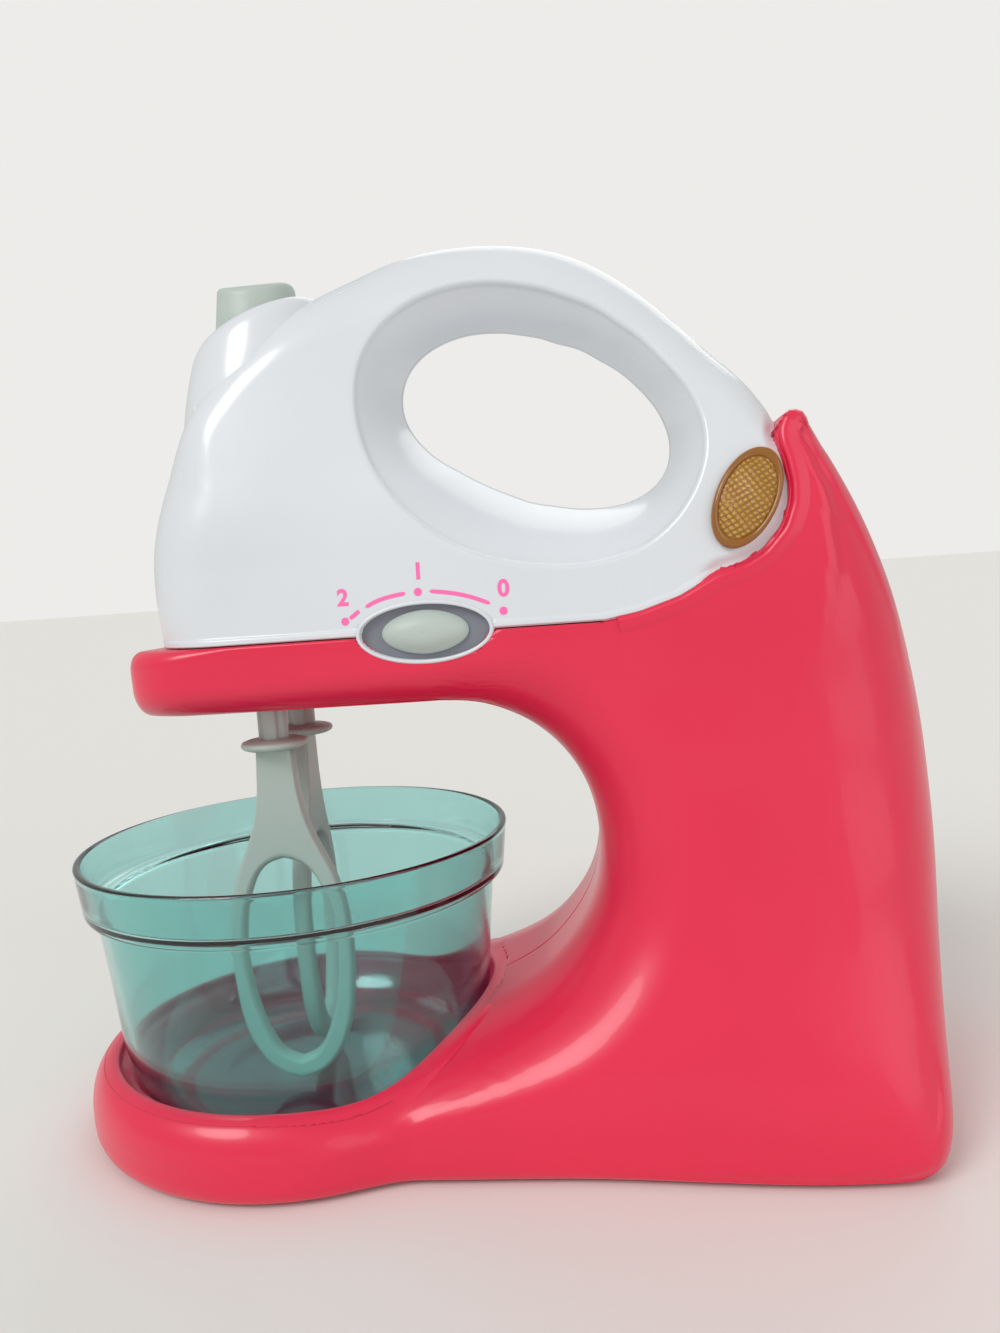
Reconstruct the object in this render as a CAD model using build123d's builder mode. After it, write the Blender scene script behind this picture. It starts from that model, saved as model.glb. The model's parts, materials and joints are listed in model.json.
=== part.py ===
"""Toy stand mixer: C-shaped stand, mixer head with a loop handle, two beaters and a clear bowl.

Millimetres, +Z up, the nose at -X and the column at +X. The origin is on the table, under the
bowl's axis. The two halves of the stand, and of the head, meet on the plane y = 0.
"""

import math
import os

from build123d import *

os.makedirs("parts", exist_ok=True)

# Mouldings of the stand
wall = 2.4
seam_gap = 0.3
base_bottom = 1.0
foot_half_width = 52.0
arm_half_width = 34.0
arm_bottom = 113.5
arm_top = 131.0
throat_z = 75.0
nose_x = -34.0
column_front_x = 86.0
column_back_x = 176.5
deck_height = 29.0
plan_round = 24.0
back_round = 24.0
horn_top = 182.0

# Mouldings of the head
head_nose_x = -35.0
handle_top = 231.5
grip_half_width = 16.0
hole_x = 75.5
hole_z = 186.5
hole_half_length = 36.0
hole_half_height = 24.5
hole_tilt = -9.0
hole_flare = 7.0

# Dish and bowl
dish_radius = 61.0
dish_foot_inset = 3.5
dish_rim_width = 7.6
dish_top = 20.0
recess_floor = 4.0
bowl_rim_radius = 60.0
bowl_rim_z = 75.7
bowl_collar_height = 14.0
bowl_wall = 2.0
bowl_clearance = 0.6
bowl_lift = 0.3
bowl_foot_radius = 30.0

# Beaters and spindles
beater_pitch = 26.0
shaft_radius = 4.0
disc_radius = 9.0
disc_z = 103.2
disc_thickness = 2.6
beater_bottom = 9.0
blade_thickness = 4.0
loop_half_width = 17.0
loop_hole_top = 71.0
shaft_fit = 0.05
spindle_radius = 6.2
spindle_fit = 0.06
spindle_bottom = 113.9
socket_depth = 17.0
pin_radius = 2.5

# Gear train
gear_module = 1.0
spindle_teeth = 26
small_teeth = 12
fast_module = 0.8
big_teeth = 35
pinion_teeth = 10
gear_width = 6.0
fast_width = 3.5
gear_z = 121.0
fast_z = 135.2
axle_radius = 1.5
idler_turn = -6.0
pinion_turn = 16.0
plate_thickness = 2.5
top_plate_z = 140.0
bush_wall = 1.8

# Motor
motor_radius = 10.0
motor_flat = 15.0
motor_length = 25.0
motor_shaft_radius = 1.0
motor_shaft_drop = 5.0

# Button
button_x = 2.0
button_radius = 10.6
button_top_radius = 9.8
button_top = 227.0
button_bottom = 205.0
button_gap = 0.5
button_flange = 1.6
button_stroke = 3.0
press_switch_height = 3.0
plunger_height = 1.4
spring_radius = 7.0
spring_wire = 0.9
spring_turns = 4
seat_z = 191.0
seat_thickness = 2.0

# Lamp
lamp_x = 126.0
lamp_z = 158.0
lamp_half_width = 8.5
lamp_half_length = 12.0
lamp_turn = -27.0
lamp_boss = 3.0
lamp_face_y = 33.4
lens_depth = 3.6

# Slide switch
switch_x = 47.0
switch_z = 131.5
switch_half_length = 16.0
switch_half_height = 6.75
switch_rim = 1.6
switch_recess = 1.2
switch_travel = 4.5
knob_half_length = 10.5
knob_half_height = 4.4
knob_height = 3.2

# Batteries
cell_radius = 7.1
cell_length = 50.0
cell_pitch = 15.6
box_x = 122.0
box_wall = 1.6
door_thickness = 2.0
door_gap = 0.4

# Screws and feet
screw_radius = 1.5
screw_head_radius = 2.9
screw_head_height = 2.0
screw_seat_y = 6.0
screw_length = 14.0
boss_radius = 4.2
foot_pad_radius = 6.0
foot_pad_height = 2.4

dish_foot_radius = dish_radius - dish_foot_inset
dish_lip_radius = dish_radius - dish_rim_width
bowl_collar_z = bowl_rim_z - bowl_collar_height
bowl_bottom = recess_floor + bowl_lift
spindle_y = beater_pitch / 2
side_reach = foot_half_width + 10
end_reach = 60.0
nose_radius = (arm_top - arm_bottom) / 2
nose_z = (arm_top + arm_bottom) / 2
near_side = -1
far_side = 1
stand_screws_at = [(-26, 122), (62, 122), (110, 112), (160, 96), (162, 46), (72, 14)]
head_screws_at = [(-24, 152), (28, 200), (120, 183), (92, 147)]
feet_at = [(0, 0), (-30, -34), (-30, 34), (152, -36), (152, 36)]


def finish(part, name):
    """Labels a piece and writes it to its file."""
    part.label = name
    export_step(part, f"parts/{name}.step")


def stand_side(inset):
    """Side outline of the C-shaped stand, drawn in by inset: deck, column, horn and arm."""
    low = base_bottom + inset
    back = column_back_x - inset
    face = column_front_x + inset
    under = arm_bottom + inset
    top = arm_top - inset
    tip = horn_top - inset
    hollow = lamp_x + inset
    nose = nose_x + inset
    with BuildSketch(Plane.XZ.offset(-side_reach)) as outline:
        with BuildLine():
            Line((10 + inset, low), (back - 10, low))
            Line((back - 10, low), (back - 1, low + 12))
            Spline(
                (back - 1, low + 12),
                (back, 55),
                (back - 2.5, 108),
                (back - 10, 138),
                (back - 26, tip - 5),
            )
            Line((back - 26, tip - 5), (back - 29, tip))
            Line((back - 29, tip), (hollow + 12, tip - 2))
            Line((hollow + 12, tip - 2), (hollow + 9, lamp_z + 14))
            Spline(
                (hollow + 9, lamp_z + 14),
                (hollow + 11, lamp_z + 3 - inset / 3),
                (hollow + 5, lamp_z - 8 - inset),
                (hollow - 9, lamp_z - 17 - inset),
                (hollow - 30, top),
                tangents=[(0.2, -1), (-1, 0)],
            )
            Line((hollow - 30, top), (nose + 0.5, top))
            Line((nose + 0.5, top), (nose, nose_z))
            RadiusArc((nose, nose_z), (nose + nose_radius, under), -nose_radius)
            Line((nose + nose_radius, under), (face - 40, under))
            Spline(
                (face - 40, under),
                (face - 18, under - 6.5),
                (face - 6, under - 20),
                (face, throat_z),
                (face - 3, 54),
                (face - 16, 39 - inset),
                (50, deck_height - inset),
                tangents=[(1, 0), (-1, -0.25)],
            )
            Line((50, deck_height - inset), (10 + inset, dish_top - inset))
            Line((10 + inset, dish_top - inset), (10 + inset, low))
        make_face()
    return outline.sketch.faces()[0]


def stand_front(inset):
    """Front outline of the stand, drawn in by inset: wide foot, narrow arm and horn."""
    low = base_bottom + inset
    wide = foot_half_width - inset
    slim = arm_half_width - inset
    with BuildSketch(Plane.YZ.offset(-end_reach)) as outline:
        with BuildLine():
            Line((0, low), (wide - 2, low))
            Line((wide - 2, low), (wide, low + 4))
            Line((wide, low + 4), (wide, 14))
            Spline(
                (wide, 14),
                (wide - 2.5, 28),
                (wide - 10, 54),
                (slim + 2, 88),
                (slim, arm_bottom),
                tangents=[(0, 1), (0, 1)],
            )
            Line((slim, arm_bottom), (slim, arm_top))
            Spline(
                (slim, arm_top),
                (slim - 3, 160),
                (slim - 9, horn_top + 1),
                tangents=[(0, 1), (-0.3, 1)],
            )
            Line((slim - 9, horn_top + 1), (0, horn_top + 1))
            mirror(about=Plane.YZ)
        make_face()
    return outline.sketch.faces()[0]


def stand_plan(inset):
    """Outline from above, drawn in by inset: a rounded nose, then the foot's width."""
    nose = nose_x + inset
    back = column_back_x - inset
    slim = arm_half_width - inset
    wide = foot_half_width - inset
    with BuildSketch() as outline:
        with BuildLine():
            Line((nose, 0), (nose, slim - plan_round))
            RadiusArc((nose, slim - plan_round), (nose + plan_round, slim), plan_round)
            Line((nose + plan_round, slim), (20 + inset, slim))
            Line((20 + inset, slim), (20 + inset, wide))
            Line((20 + inset, wide), (back - back_round, wide))
            RadiusArc((back - back_round, wide), (back, wide - back_round), back_round)
            Line((back, wide - back_round), (back, 0))
            mirror(about=Plane.XZ)
        make_face()
    return outline.sketch.faces()[0]


def head_side(inset):
    """Side outline of the head, drawn in by inset: nose, sloping collar top, arch and tail."""
    low = arm_top + seam_gap + inset
    nose = head_nose_x + inset
    top = handle_top - inset
    tail = lamp_x - seam_gap - inset
    with BuildSketch(Plane.XZ.offset(-side_reach)) as outline:
        with BuildLine():
            Line((tail - 30, low), (nose + 1.6, low))
            Spline(
                (nose + 1.6, low),
                (nose, 150),
                (nose + 2.5, 170),
                (nose + 9, 190 - inset / 2),
                (button_x - 16 + inset / 2, 213 - inset),
            )
            Line((button_x - 16 + inset / 2, 213 - inset), (button_x + 18, 225 - inset))
            Spline(
                (button_x + 18, 225 - inset),
                (42, top - 2),
                (64, top),
                (86 - inset / 4, top - 4.5),
                (106 - inset / 2, top - 17.5),
                (121 - inset / 2, top - 32.5),
                (131 - inset, top - 44),
                (tail + 8.5, horn_top - 4),
                tangents=[(1, 0.5), (0.25, -1)],
            )
            Line((tail + 8.5, horn_top - 4), (tail + 9, lamp_z + 14))
            Spline(
                (tail + 9, lamp_z + 14),
                (tail + 11, lamp_z + 3 + inset / 3),
                (tail + 5, lamp_z - 8 + seam_gap + inset),
                (tail - 9, lamp_z - 17 + seam_gap + inset),
                (tail - 30, low),
                tangents=[(0.2, -1), (-1, 0)],
            )
        make_face()
    return outline.sketch.faces()[0]


def head_front(inset):
    """Front outline of the head, drawn in by inset, narrowing to the handle."""
    low = arm_top - 5
    slim = arm_half_width - inset
    grip = grip_half_width - inset
    top = handle_top - inset
    with BuildSketch(Plane.YZ.offset(-end_reach)) as outline:
        with BuildLine():
            Line((0, low), (slim, low))
            Line((slim, low), (slim, arm_top))
            Spline(
                (slim, arm_top),
                (slim - 3, 160),
                (slim - 10.5, 188),
                (grip + 1, 213 - inset / 2),
                (grip - 3, top - 4),
                (grip - 8, top + 1),
                tangents=[(0, 1), (-1, 0.3)],
            )
            Line((grip - 8, top + 1), (0, top + 1))
            mirror(about=Plane.YZ)
        make_face()
    return outline.sketch.faces()[0]


def crossed(side, front, plan):
    """The solid common to a side outline, a front outline and a plan."""
    with BuildPart() as body:
        extrude(side, amount=2 * side_reach, dir=(0, -1, 0))
        extrude(front, amount=end_reach + column_back_x + 20, dir=(1, 0, 0), mode=Mode.INTERSECT)
        extrude(plan, amount=handle_top + 10, dir=(0, 0, 1), mode=Mode.INTERSECT)
    return body.part


def bowl_points(grow):
    """Outer profile of the bowl below its collar, pushed out by grow."""
    return [
        (bowl_foot_radius + grow, bowl_bottom - grow),
        (bowl_foot_radius + 11 + grow, bowl_bottom + 2.6 - grow * 0.7),
        (bowl_foot_radius + 17.6 + grow, bowl_bottom + 9 - grow * 0.3),
        (bowl_foot_radius + 20.4 + grow, dish_top),
        (bowl_foot_radius + 22.6 + grow, dish_top + 17),
        (bowl_rim_radius - 4.4 + grow, bowl_collar_z),
    ]


def along_y(x, z, radius, start, end):
    """A round bar along Y between two places."""
    with BuildPart() as bar:
        with BuildSketch(Plane.XZ.offset(-end)):
            with Locations((x, z)):
                Circle(radius)
        extrude(amount=end - start)
    return bar.part


def oval_along_y(x, z, half_x, half_z, turn, start, end):
    """An elliptical bar along Y between two places."""
    with BuildPart() as bar:
        with BuildSketch(Plane.XZ.offset(-end)):
            with Locations(Location((x, z, 0), (0, 0, turn))):
                Ellipse(half_x, half_z)
        extrude(amount=end - start)
    return bar.part


def upright(x, y, radius, bottom, top):
    """A round bar along Z."""
    with BuildPart() as bar:
        with BuildSketch(Plane.XY.offset(bottom)):
            with Locations((x, y)):
                Circle(radius)
        extrude(amount=top - bottom)
    return bar.part


def block(low, high):
    """A box between two corners."""
    with BuildPart() as solid:
        with BuildSketch(Plane.XY.offset(low[2])):
            with Locations(((low[0] + high[0]) / 2, (low[1] + high[1]) / 2)):
                Rectangle(high[0] - low[0], high[1] - low[1])
        extrude(amount=high[2] - low[2])
    return solid.part


def bosses(points, outer):
    """Screw bosses across the hollow, kept inside the outer form."""
    made = None
    for x, z in points:
        bar = along_y(x, z, boss_radius, -foot_half_width, foot_half_width)
        made = bar if made is None else made + bar
    return made & outer


def screw_holes(points, shell_outer_y):
    """Pilot holes in the near half, clearance and counterbores in the far half."""
    made = None
    for x, z in points:
        hole = along_y(x, z, screw_radius + 0.2, -screw_length + screw_seat_y - 1, screw_seat_y)
        hole = hole + along_y(x, z, screw_head_radius + 0.3, screw_seat_y, shell_outer_y)
        made = hole if made is None else made + hole
    return made


def screws(points):
    """Identical screws, driven from the far side."""
    made = []
    for x, z in points:
        shank = along_y(x, z, screw_radius, screw_seat_y - screw_length, screw_seat_y)
        head = along_y(x, z, screw_head_radius, screw_seat_y, screw_seat_y + screw_head_height)
        slot = block((x - 2, screw_seat_y + 1.2, z - 0.4), (x + 2, screw_seat_y + 3, z + 0.4))
        cross = block((x - 0.4, screw_seat_y + 1.2, z - 2), (x + 0.4, screw_seat_y + 3, z + 2))
        made.append(shank + head - slot - cross)
    return Compound(children=made)


def halves(body, near_name, far_name):
    """Parts a moulding on y = 0 and writes both halves."""
    low = (nose_x - 40, 0, -1)
    high = (column_back_x + 10, side_reach, handle_top + 10)
    far_space = block(low, high)
    finish(body - far_space, near_name)
    finish(body & far_space, far_name)


def gear_outline(teeth, module, turn, hole):
    """Face of a spur gear with straight-sided teeth, one tooth at the angle turn."""
    pitch = teeth * module / 2
    root = pitch - 1.15 * module
    tip = pitch + 0.8 * module
    root_half = 0.85 * module
    pitch_half = 0.6 * module
    tip_half = 0.3 * module
    edge = []
    for tooth in range(teeth):
        middle = math.radians(turn) + tooth * 2 * math.pi / teeth
        for radius, half in (
            (root, -root_half),
            (pitch, -pitch_half),
            (tip, -tip_half),
            (tip, tip_half),
            (pitch, pitch_half),
            (root, root_half),
        ):
            angle = middle + half / radius
            edge.append((radius * math.cos(angle), radius * math.sin(angle)))
    with BuildSketch() as face:
        with BuildLine():
            Polyline(*edge, close=True)
        make_face()
        if hole > 0:
            Circle(hole, mode=Mode.SUBTRACT)
    return face.sketch


def meshed_turn(turn, teeth, other_teeth, direction):
    """Angle of a tooth of the other gear, so that its gap meets this gear's tooth."""
    offset_angle = (turn - direction) % (360 / teeth)
    return direction + 180 - offset_angle * teeth / other_teeth + 180 / other_teeth


def gear(x, y, z, width, teeth, module, turn, hole=0.0):
    """A spur gear standing on a level."""
    return Pos(x, y, z) * extrude(gear_outline(teeth, module, turn, hole), amount=width)


# Stand
stand_form = crossed(stand_side(0), stand_front(0), stand_plan(0))
stand_inside = crossed(stand_side(wall), stand_front(wall), stand_plan(wall))
mouth_limit = block((nose_x, -side_reach, 100), (lamp_x - 34, side_reach, 160))
arm_mouth = extrude(Plane.XY.offset(arm_top - wall - 0.5) * stand_plan(wall), amount=wall + 2, dir=(0, 0, 1))
arm_mouth = arm_mouth & mouth_limit & block(
    (nose_x, wall - arm_half_width, 100), (lamp_x, arm_half_width - wall, 160)
)
with BuildPart() as dish_ring:
    with BuildSketch(Plane.XZ):
        with BuildLine():
            Line((0, base_bottom), (dish_foot_radius, base_bottom))
            Spline(
                (dish_foot_radius, base_bottom),
                (dish_radius, 8),
                (dish_radius - 1.5, 14),
                (dish_lip_radius, dish_top + 1),
            )
            Line((dish_lip_radius, dish_top + 1), (0, dish_top + 1))
            Line((0, dish_top + 1), (0, base_bottom))
        make_face()
        with BuildLine():
            channel_in = dish_lip_radius + 1
            channel_out = dish_radius - wall
            Polyline(
                (channel_in, base_bottom - 1),
                (dish_foot_radius - wall + 0.6, base_bottom - 1),
                (channel_out, 8),
                (channel_in, 15),
                close=True,
            )
        make_face(mode=Mode.SUBTRACT)
    revolve(axis=Axis.Z)
with BuildPart() as bowl_space:
    with BuildSketch(Plane.XZ):
        with BuildLine():
            edge_points = bowl_points(bowl_clearance)
            Line((0, recess_floor), (edge_points[0][0], recess_floor))
            Spline(*[(x, max(z, recess_floor)) for x, z in edge_points])
            Line(edge_points[-1], (0, bowl_collar_z))
            Line((0, bowl_collar_z), (0, recess_floor))
        make_face()
    revolve(axis=Axis.Z)

stand_shell = stand_form - stand_inside - arm_mouth + bosses(stand_screws_at, stand_form)
recess_wall = upright(0, 0, dish_lip_radius + wall, base_bottom, deck_height + 1) & stand_form
stand_shell = stand_shell + dish_ring.part + recess_wall - bowl_space.part - screw_holes(stand_screws_at, foot_half_width + 2)

box_half_length = cell_length / 2 + 3
box_half_width = cell_pitch * 1.5 + 1
door_half_length = box_half_length + 7
door_half_width = box_half_width + 4
door_hole = block(
    (box_x - door_half_length, -door_half_width, base_bottom - 1),
    (box_x + door_half_length, door_half_width, base_bottom + wall + 2),
)
stand_shell = stand_shell - door_hole
for spindle_side in (near_side, far_side):
    stand_shell = stand_shell - upright(0, spindle_side * spindle_y, spindle_radius + 0.8, 110, 120)
tongue_reach = switch_rim + seam_gap
stand_shell = stand_shell - oval_along_y(
    switch_x,
    switch_z,
    switch_half_length + tongue_reach,
    switch_half_height + tongue_reach,
    0,
    -arm_half_width - 2,
    -arm_half_width + wall + 2,
)
lamp_rim = (lamp_half_width + lamp_boss, lamp_half_length + lamp_boss)
for lamp_side in (near_side, far_side):
    ends = sorted((lamp_side * (lamp_face_y + 3), lamp_side * (lamp_face_y - 10 - seam_gap)))
    stand_shell = stand_shell - oval_along_y(
        lamp_x, lamp_z, lamp_rim[0] + seam_gap, lamp_rim[1] + seam_gap, lamp_turn, ends[0], ends[1]
    )
for foot_x, foot_y in feet_at:
    stand_shell = stand_shell - upright(foot_x, foot_y, foot_pad_radius + 0.1, 0, base_bottom + 1.2)
halves(stand_shell, "stand_shell_near", "stand_shell_far")

# Head
head_form = crossed(head_side(0), head_front(0), stand_plan(0))
head_inside = crossed(head_side(wall), head_front(wall), stand_plan(wall))


def handle_opening(grow, start, end):
    """The tilted oval through the handle, pushed out by grow."""
    return oval_along_y(hole_x, hole_z, hole_half_length + grow, hole_half_height + grow, hole_tilt, start, end)


with BuildPart() as flare:
    for flare_side in (near_side, far_side):
        with BuildSketch(Plane.XZ.offset(-flare_side * (arm_half_width + 4))):
            with Locations(Location((hole_x, hole_z, 0), (0, 0, hole_tilt))):
                Ellipse(hole_half_length + hole_flare, hole_half_height + hole_flare)
        with BuildSketch(Plane.XZ.offset(-flare_side * 8)):
            with Locations(Location((hole_x, hole_z, 0), (0, 0, hole_tilt))):
                Ellipse(hole_half_length, hole_half_height)
        loft()
handle_space = flare.part + handle_opening(0, -9, 9)
handle_wall = handle_opening(wall, -9, 9)
with BuildPart() as flare_wall:
    for flare_side in (near_side, far_side):
        with BuildSketch(Plane.XZ.offset(-flare_side * (arm_half_width + 4))):
            with Locations(Location((hole_x, hole_z, 0), (0, 0, hole_tilt))):
                Ellipse(hole_half_length + hole_flare + wall, hole_half_height + hole_flare + wall)
        with BuildSketch(Plane.XZ.offset(-flare_side * 8)):
            with Locations(Location((hole_x, hole_z, 0), (0, 0, hole_tilt))):
                Ellipse(hole_half_length + wall, hole_half_height + wall)
        loft()
head_hollow = head_inside - handle_wall - flare_wall.part
head_mouth = Pos(0, 0, wall + seam_gap) * arm_mouth
head_shell = head_form - head_hollow - head_mouth + bosses(head_screws_at, head_form)
for lamp_side in (near_side, far_side):
    ends = sorted((lamp_side * lamp_face_y, lamp_side * (lamp_face_y - 10)))
    head_shell = head_shell + oval_along_y(lamp_x, lamp_z, lamp_rim[0], lamp_rim[1], lamp_turn, ends[0], ends[1])
tongue_half_length = switch_half_length + switch_rim
tongue_half_height = switch_half_height + switch_rim
tongue_face = -arm_half_width - 0.4
head_shell = head_shell + oval_along_y(
    switch_x, switch_z, tongue_half_length, tongue_half_height, 0, tongue_face, -arm_half_width + wall + 1.6
)
head_shell = head_shell - handle_space - screw_holes(head_screws_at, arm_half_width + 2)
for lamp_side in (near_side, far_side):
    ends = sorted((lamp_side * (lamp_face_y + 1), lamp_side * (lamp_face_y - lens_depth)))
    seat = oval_along_y(lamp_x, lamp_z, lamp_half_width, lamp_half_length, lamp_turn, ends[0], ends[1])
    ends = sorted((lamp_side * (lamp_face_y + 1), lamp_side * (lamp_face_y - 16)))
    window = oval_along_y(lamp_x, lamp_z, lamp_half_width - 2, lamp_half_length - 2, lamp_turn, ends[0], ends[1])
    head_shell = head_shell - seat - window
plate_back = tongue_face + switch_recess + 1.2
head_shell = head_shell - oval_along_y(
    switch_x, switch_z, switch_half_length, switch_half_height, 0, tongue_face - 1, plate_back
)
slot_half = switch_travel + 4
head_shell = head_shell - block(
    (switch_x - slot_half, tongue_face, switch_z - 2.2), (switch_x + slot_half, -arm_half_width + wall + 3, switch_z + 2.2)
)
head_shell = head_shell - upright(button_x, 0, button_radius + button_gap, 200, 230)
halves(head_shell, "head_shell_near", "head_shell_far")

finish(screws(stand_screws_at), "stand_screws")
finish(screws(head_screws_at), "head_screws")
pads = [upright(x, y, foot_pad_radius, 0, foot_pad_height - 0.2) for x, y in feet_at]
finish(Compound(children=pads), "rubber_feet")

# Bowl
with BuildPart() as bowl:
    with BuildSketch(Plane.XZ):
        with BuildLine():
            outside = bowl_points(0)
            inside = bowl_points(-bowl_wall)
            rim_low = bowl_collar_z + 1.4
            Line((0, bowl_bottom), outside[0])
            Spline(*outside)
            Line(outside[-1], (bowl_rim_radius - 1.6, bowl_collar_z))
            Line((bowl_rim_radius - 1.6, bowl_collar_z), (bowl_rim_radius - 0.8, bowl_collar_z + 1))
            Line((bowl_rim_radius - 0.8, bowl_collar_z + 1), (bowl_rim_radius, bowl_rim_z - 1))
            Line((bowl_rim_radius, bowl_rim_z - 1), (bowl_rim_radius - 1, bowl_rim_z))
            Line((bowl_rim_radius - 1, bowl_rim_z), (bowl_rim_radius - bowl_wall, bowl_rim_z - 0.6))
            Line((bowl_rim_radius - bowl_wall, bowl_rim_z - 0.6), (bowl_rim_radius - bowl_wall - 0.8, rim_low))
            Line((bowl_rim_radius - bowl_wall - 0.8, rim_low), (inside[-1][0], rim_low))
            Line((inside[-1][0], rim_low), (inside[-1][0], bowl_collar_z - 1))
            Spline(
                (inside[-1][0], bowl_collar_z - 1),
                inside[4],
                inside[3],
                inside[2],
                inside[1],
                (inside[0][0], bowl_bottom + bowl_wall),
            )
            Line((inside[0][0], bowl_bottom + bowl_wall), (0, bowl_bottom + bowl_wall))
            Line((0, bowl_bottom + bowl_wall), (0, bowl_bottom))
        make_face()
    revolve(axis=Axis.Z)
finish(bowl.part, "bowl")

# Beaters
shaft_top = spindle_bottom + socket_depth - 0.4
with BuildPart() as beater:
    with BuildSketch(Plane.XZ.offset(-blade_thickness / 2)):
        with BuildLine():
            blade_top = disc_z + 0.2
            Line((0, blade_top), (4.6, blade_top))
            Spline(
                (4.6, blade_top),
                (5.2, 92),
                (8.4, 80),
                (14.2, 66),
                (loop_half_width, 50),
                (loop_half_width - 1.6, 30),
                (9.5, beater_bottom + 5),
                (0, beater_bottom),
                tangents=[(0, -1), (-1, 0)],
            )
            Line((0, beater_bottom), (0, blade_top))
        make_face()
        with BuildLine():
            Spline(
                (0, loop_hole_top),
                (6.5, 64),
                (loop_half_width - 4.2, 47),
                (loop_half_width - 5.6, 31),
                (6, beater_bottom + 8.5),
                (0, beater_bottom + 6),
                tangents=[(1, -0.2), (-1, 0)],
            )
            Line((0, beater_bottom + 6), (0, loop_hole_top))
        make_face(mode=Mode.SUBTRACT)
        mirror(about=Plane.YZ)
    extrude(amount=blade_thickness)
    with BuildSketch(Plane.XY.offset(disc_z - disc_thickness / 2)):
        Circle(disc_radius)
    extrude(amount=disc_thickness)
    with BuildSketch(Plane.XY.offset(disc_z)):
        Circle(shaft_radius)
    extrude(amount=shaft_top - disc_z)
    with BuildSketch(Plane.XY.offset(disc_z + disc_thickness / 2)):
        with PolarLocations(shaft_radius, 4, start_angle=45):
            Circle(1.1)
    extrude(amount=shaft_top, mode=Mode.SUBTRACT)
for beater_side, beater_name, quarter in ((near_side, "beater_near", 0), (far_side, "beater_far", 90)):
    placed = Pos(0, beater_side * spindle_y, 0) * Rot(0, 0, quarter) * beater.part
    finish(placed, beater_name)

# Spindles and gears
spindle_top = spindle_bottom + socket_depth + 2
pin_top = top_plate_z + plate_thickness
near_turn = 90.0
far_turn = meshed_turn(near_turn, spindle_teeth, spindle_teeth, 90.0)
for side, name, turn in ((near_side, "spindle_near", near_turn), (far_side, "spindle_far", far_turn)):
    y = side * spindle_y
    turned = upright(0, y, spindle_radius, spindle_bottom, spindle_top) + upright(0, y, pin_radius, spindle_top, pin_top)
    turned = turned + gear(0, y, gear_z, gear_width, spindle_teeth, gear_module, turn)
    finish(turned - upright(0, y, shaft_radius + shaft_fit, spindle_bottom - 1, spindle_bottom + socket_depth), name)

idler_distance = (spindle_teeth + small_teeth) * gear_module / 2
idler_x = idler_distance * math.cos(math.radians(idler_turn))
idler_y = -spindle_y + idler_distance * math.sin(math.radians(idler_turn))
idler_phase = meshed_turn(near_turn, spindle_teeth, small_teeth, idler_turn)
idler = gear(idler_x, idler_y, gear_z, gear_width, small_teeth, gear_module, idler_phase)
idler = idler + upright(idler_x, idler_y, 4.2, gear_z + gear_width, fast_z)
idler = idler + gear(idler_x, idler_y, fast_z, fast_width, big_teeth, fast_module, 0)
idler = idler - upright(idler_x, idler_y, axle_radius + shaft_fit, gear_z - 1, fast_z + fast_width + 1)
finish(idler, "reduction_gear")
lower_plate_z = arm_bottom + wall
finish(upright(idler_x, idler_y, axle_radius, lower_plate_z + 0.5, pin_top), "gear_axle")

motor_distance = (big_teeth + pinion_teeth) * fast_module / 2
motor_x = idler_x + motor_distance * math.cos(math.radians(pinion_turn))
motor_y = idler_y + motor_distance * math.sin(math.radians(pinion_turn))
pinion_phase = meshed_turn(0, big_teeth, pinion_teeth, pinion_turn)
pinion = gear(motor_x, motor_y, fast_z, fast_width, pinion_teeth, fast_module, pinion_phase, motor_shaft_radius)
finish(pinion, "motor_pinion")
motor_bottom = pin_top
shaft = upright(motor_x, motor_y, motor_shaft_radius, fast_z - 0.3, motor_bottom + 2)
finish(shaft, "motor_shaft")
can = upright(motor_x, motor_y, motor_radius, motor_bottom, motor_bottom + motor_length)
flats = block(
    (motor_x - motor_radius, motor_y - motor_flat / 2, motor_bottom),
    (motor_x + motor_radius, motor_y + motor_flat / 2, motor_bottom + motor_length),
)
can = (can & flats) + upright(motor_x, motor_y, 3, motor_bottom + motor_length, motor_bottom + motor_length + 1.5)
finish(can - upright(motor_x, motor_y, motor_shaft_radius + shaft_fit, motor_bottom - 1, motor_bottom + 2.1), "motor")
holder = block(
    (motor_x - motor_radius - 2, motor_y - motor_flat / 2 - 2.5, motor_bottom),
    (motor_x + motor_radius + 2, motor_y + motor_flat / 2 + 2.5, motor_bottom + 9),
)
grown = upright(motor_x, motor_y, motor_radius + 0.1, motor_bottom - 1, motor_bottom + 12) & block(
    (motor_x - 15, motor_y - motor_flat / 2 - 0.1, motor_bottom - 1),
    (motor_x + 15, motor_y + motor_flat / 2 + 0.1, motor_bottom + 12),
)
finish(holder - grown, "motor_holder")

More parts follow.
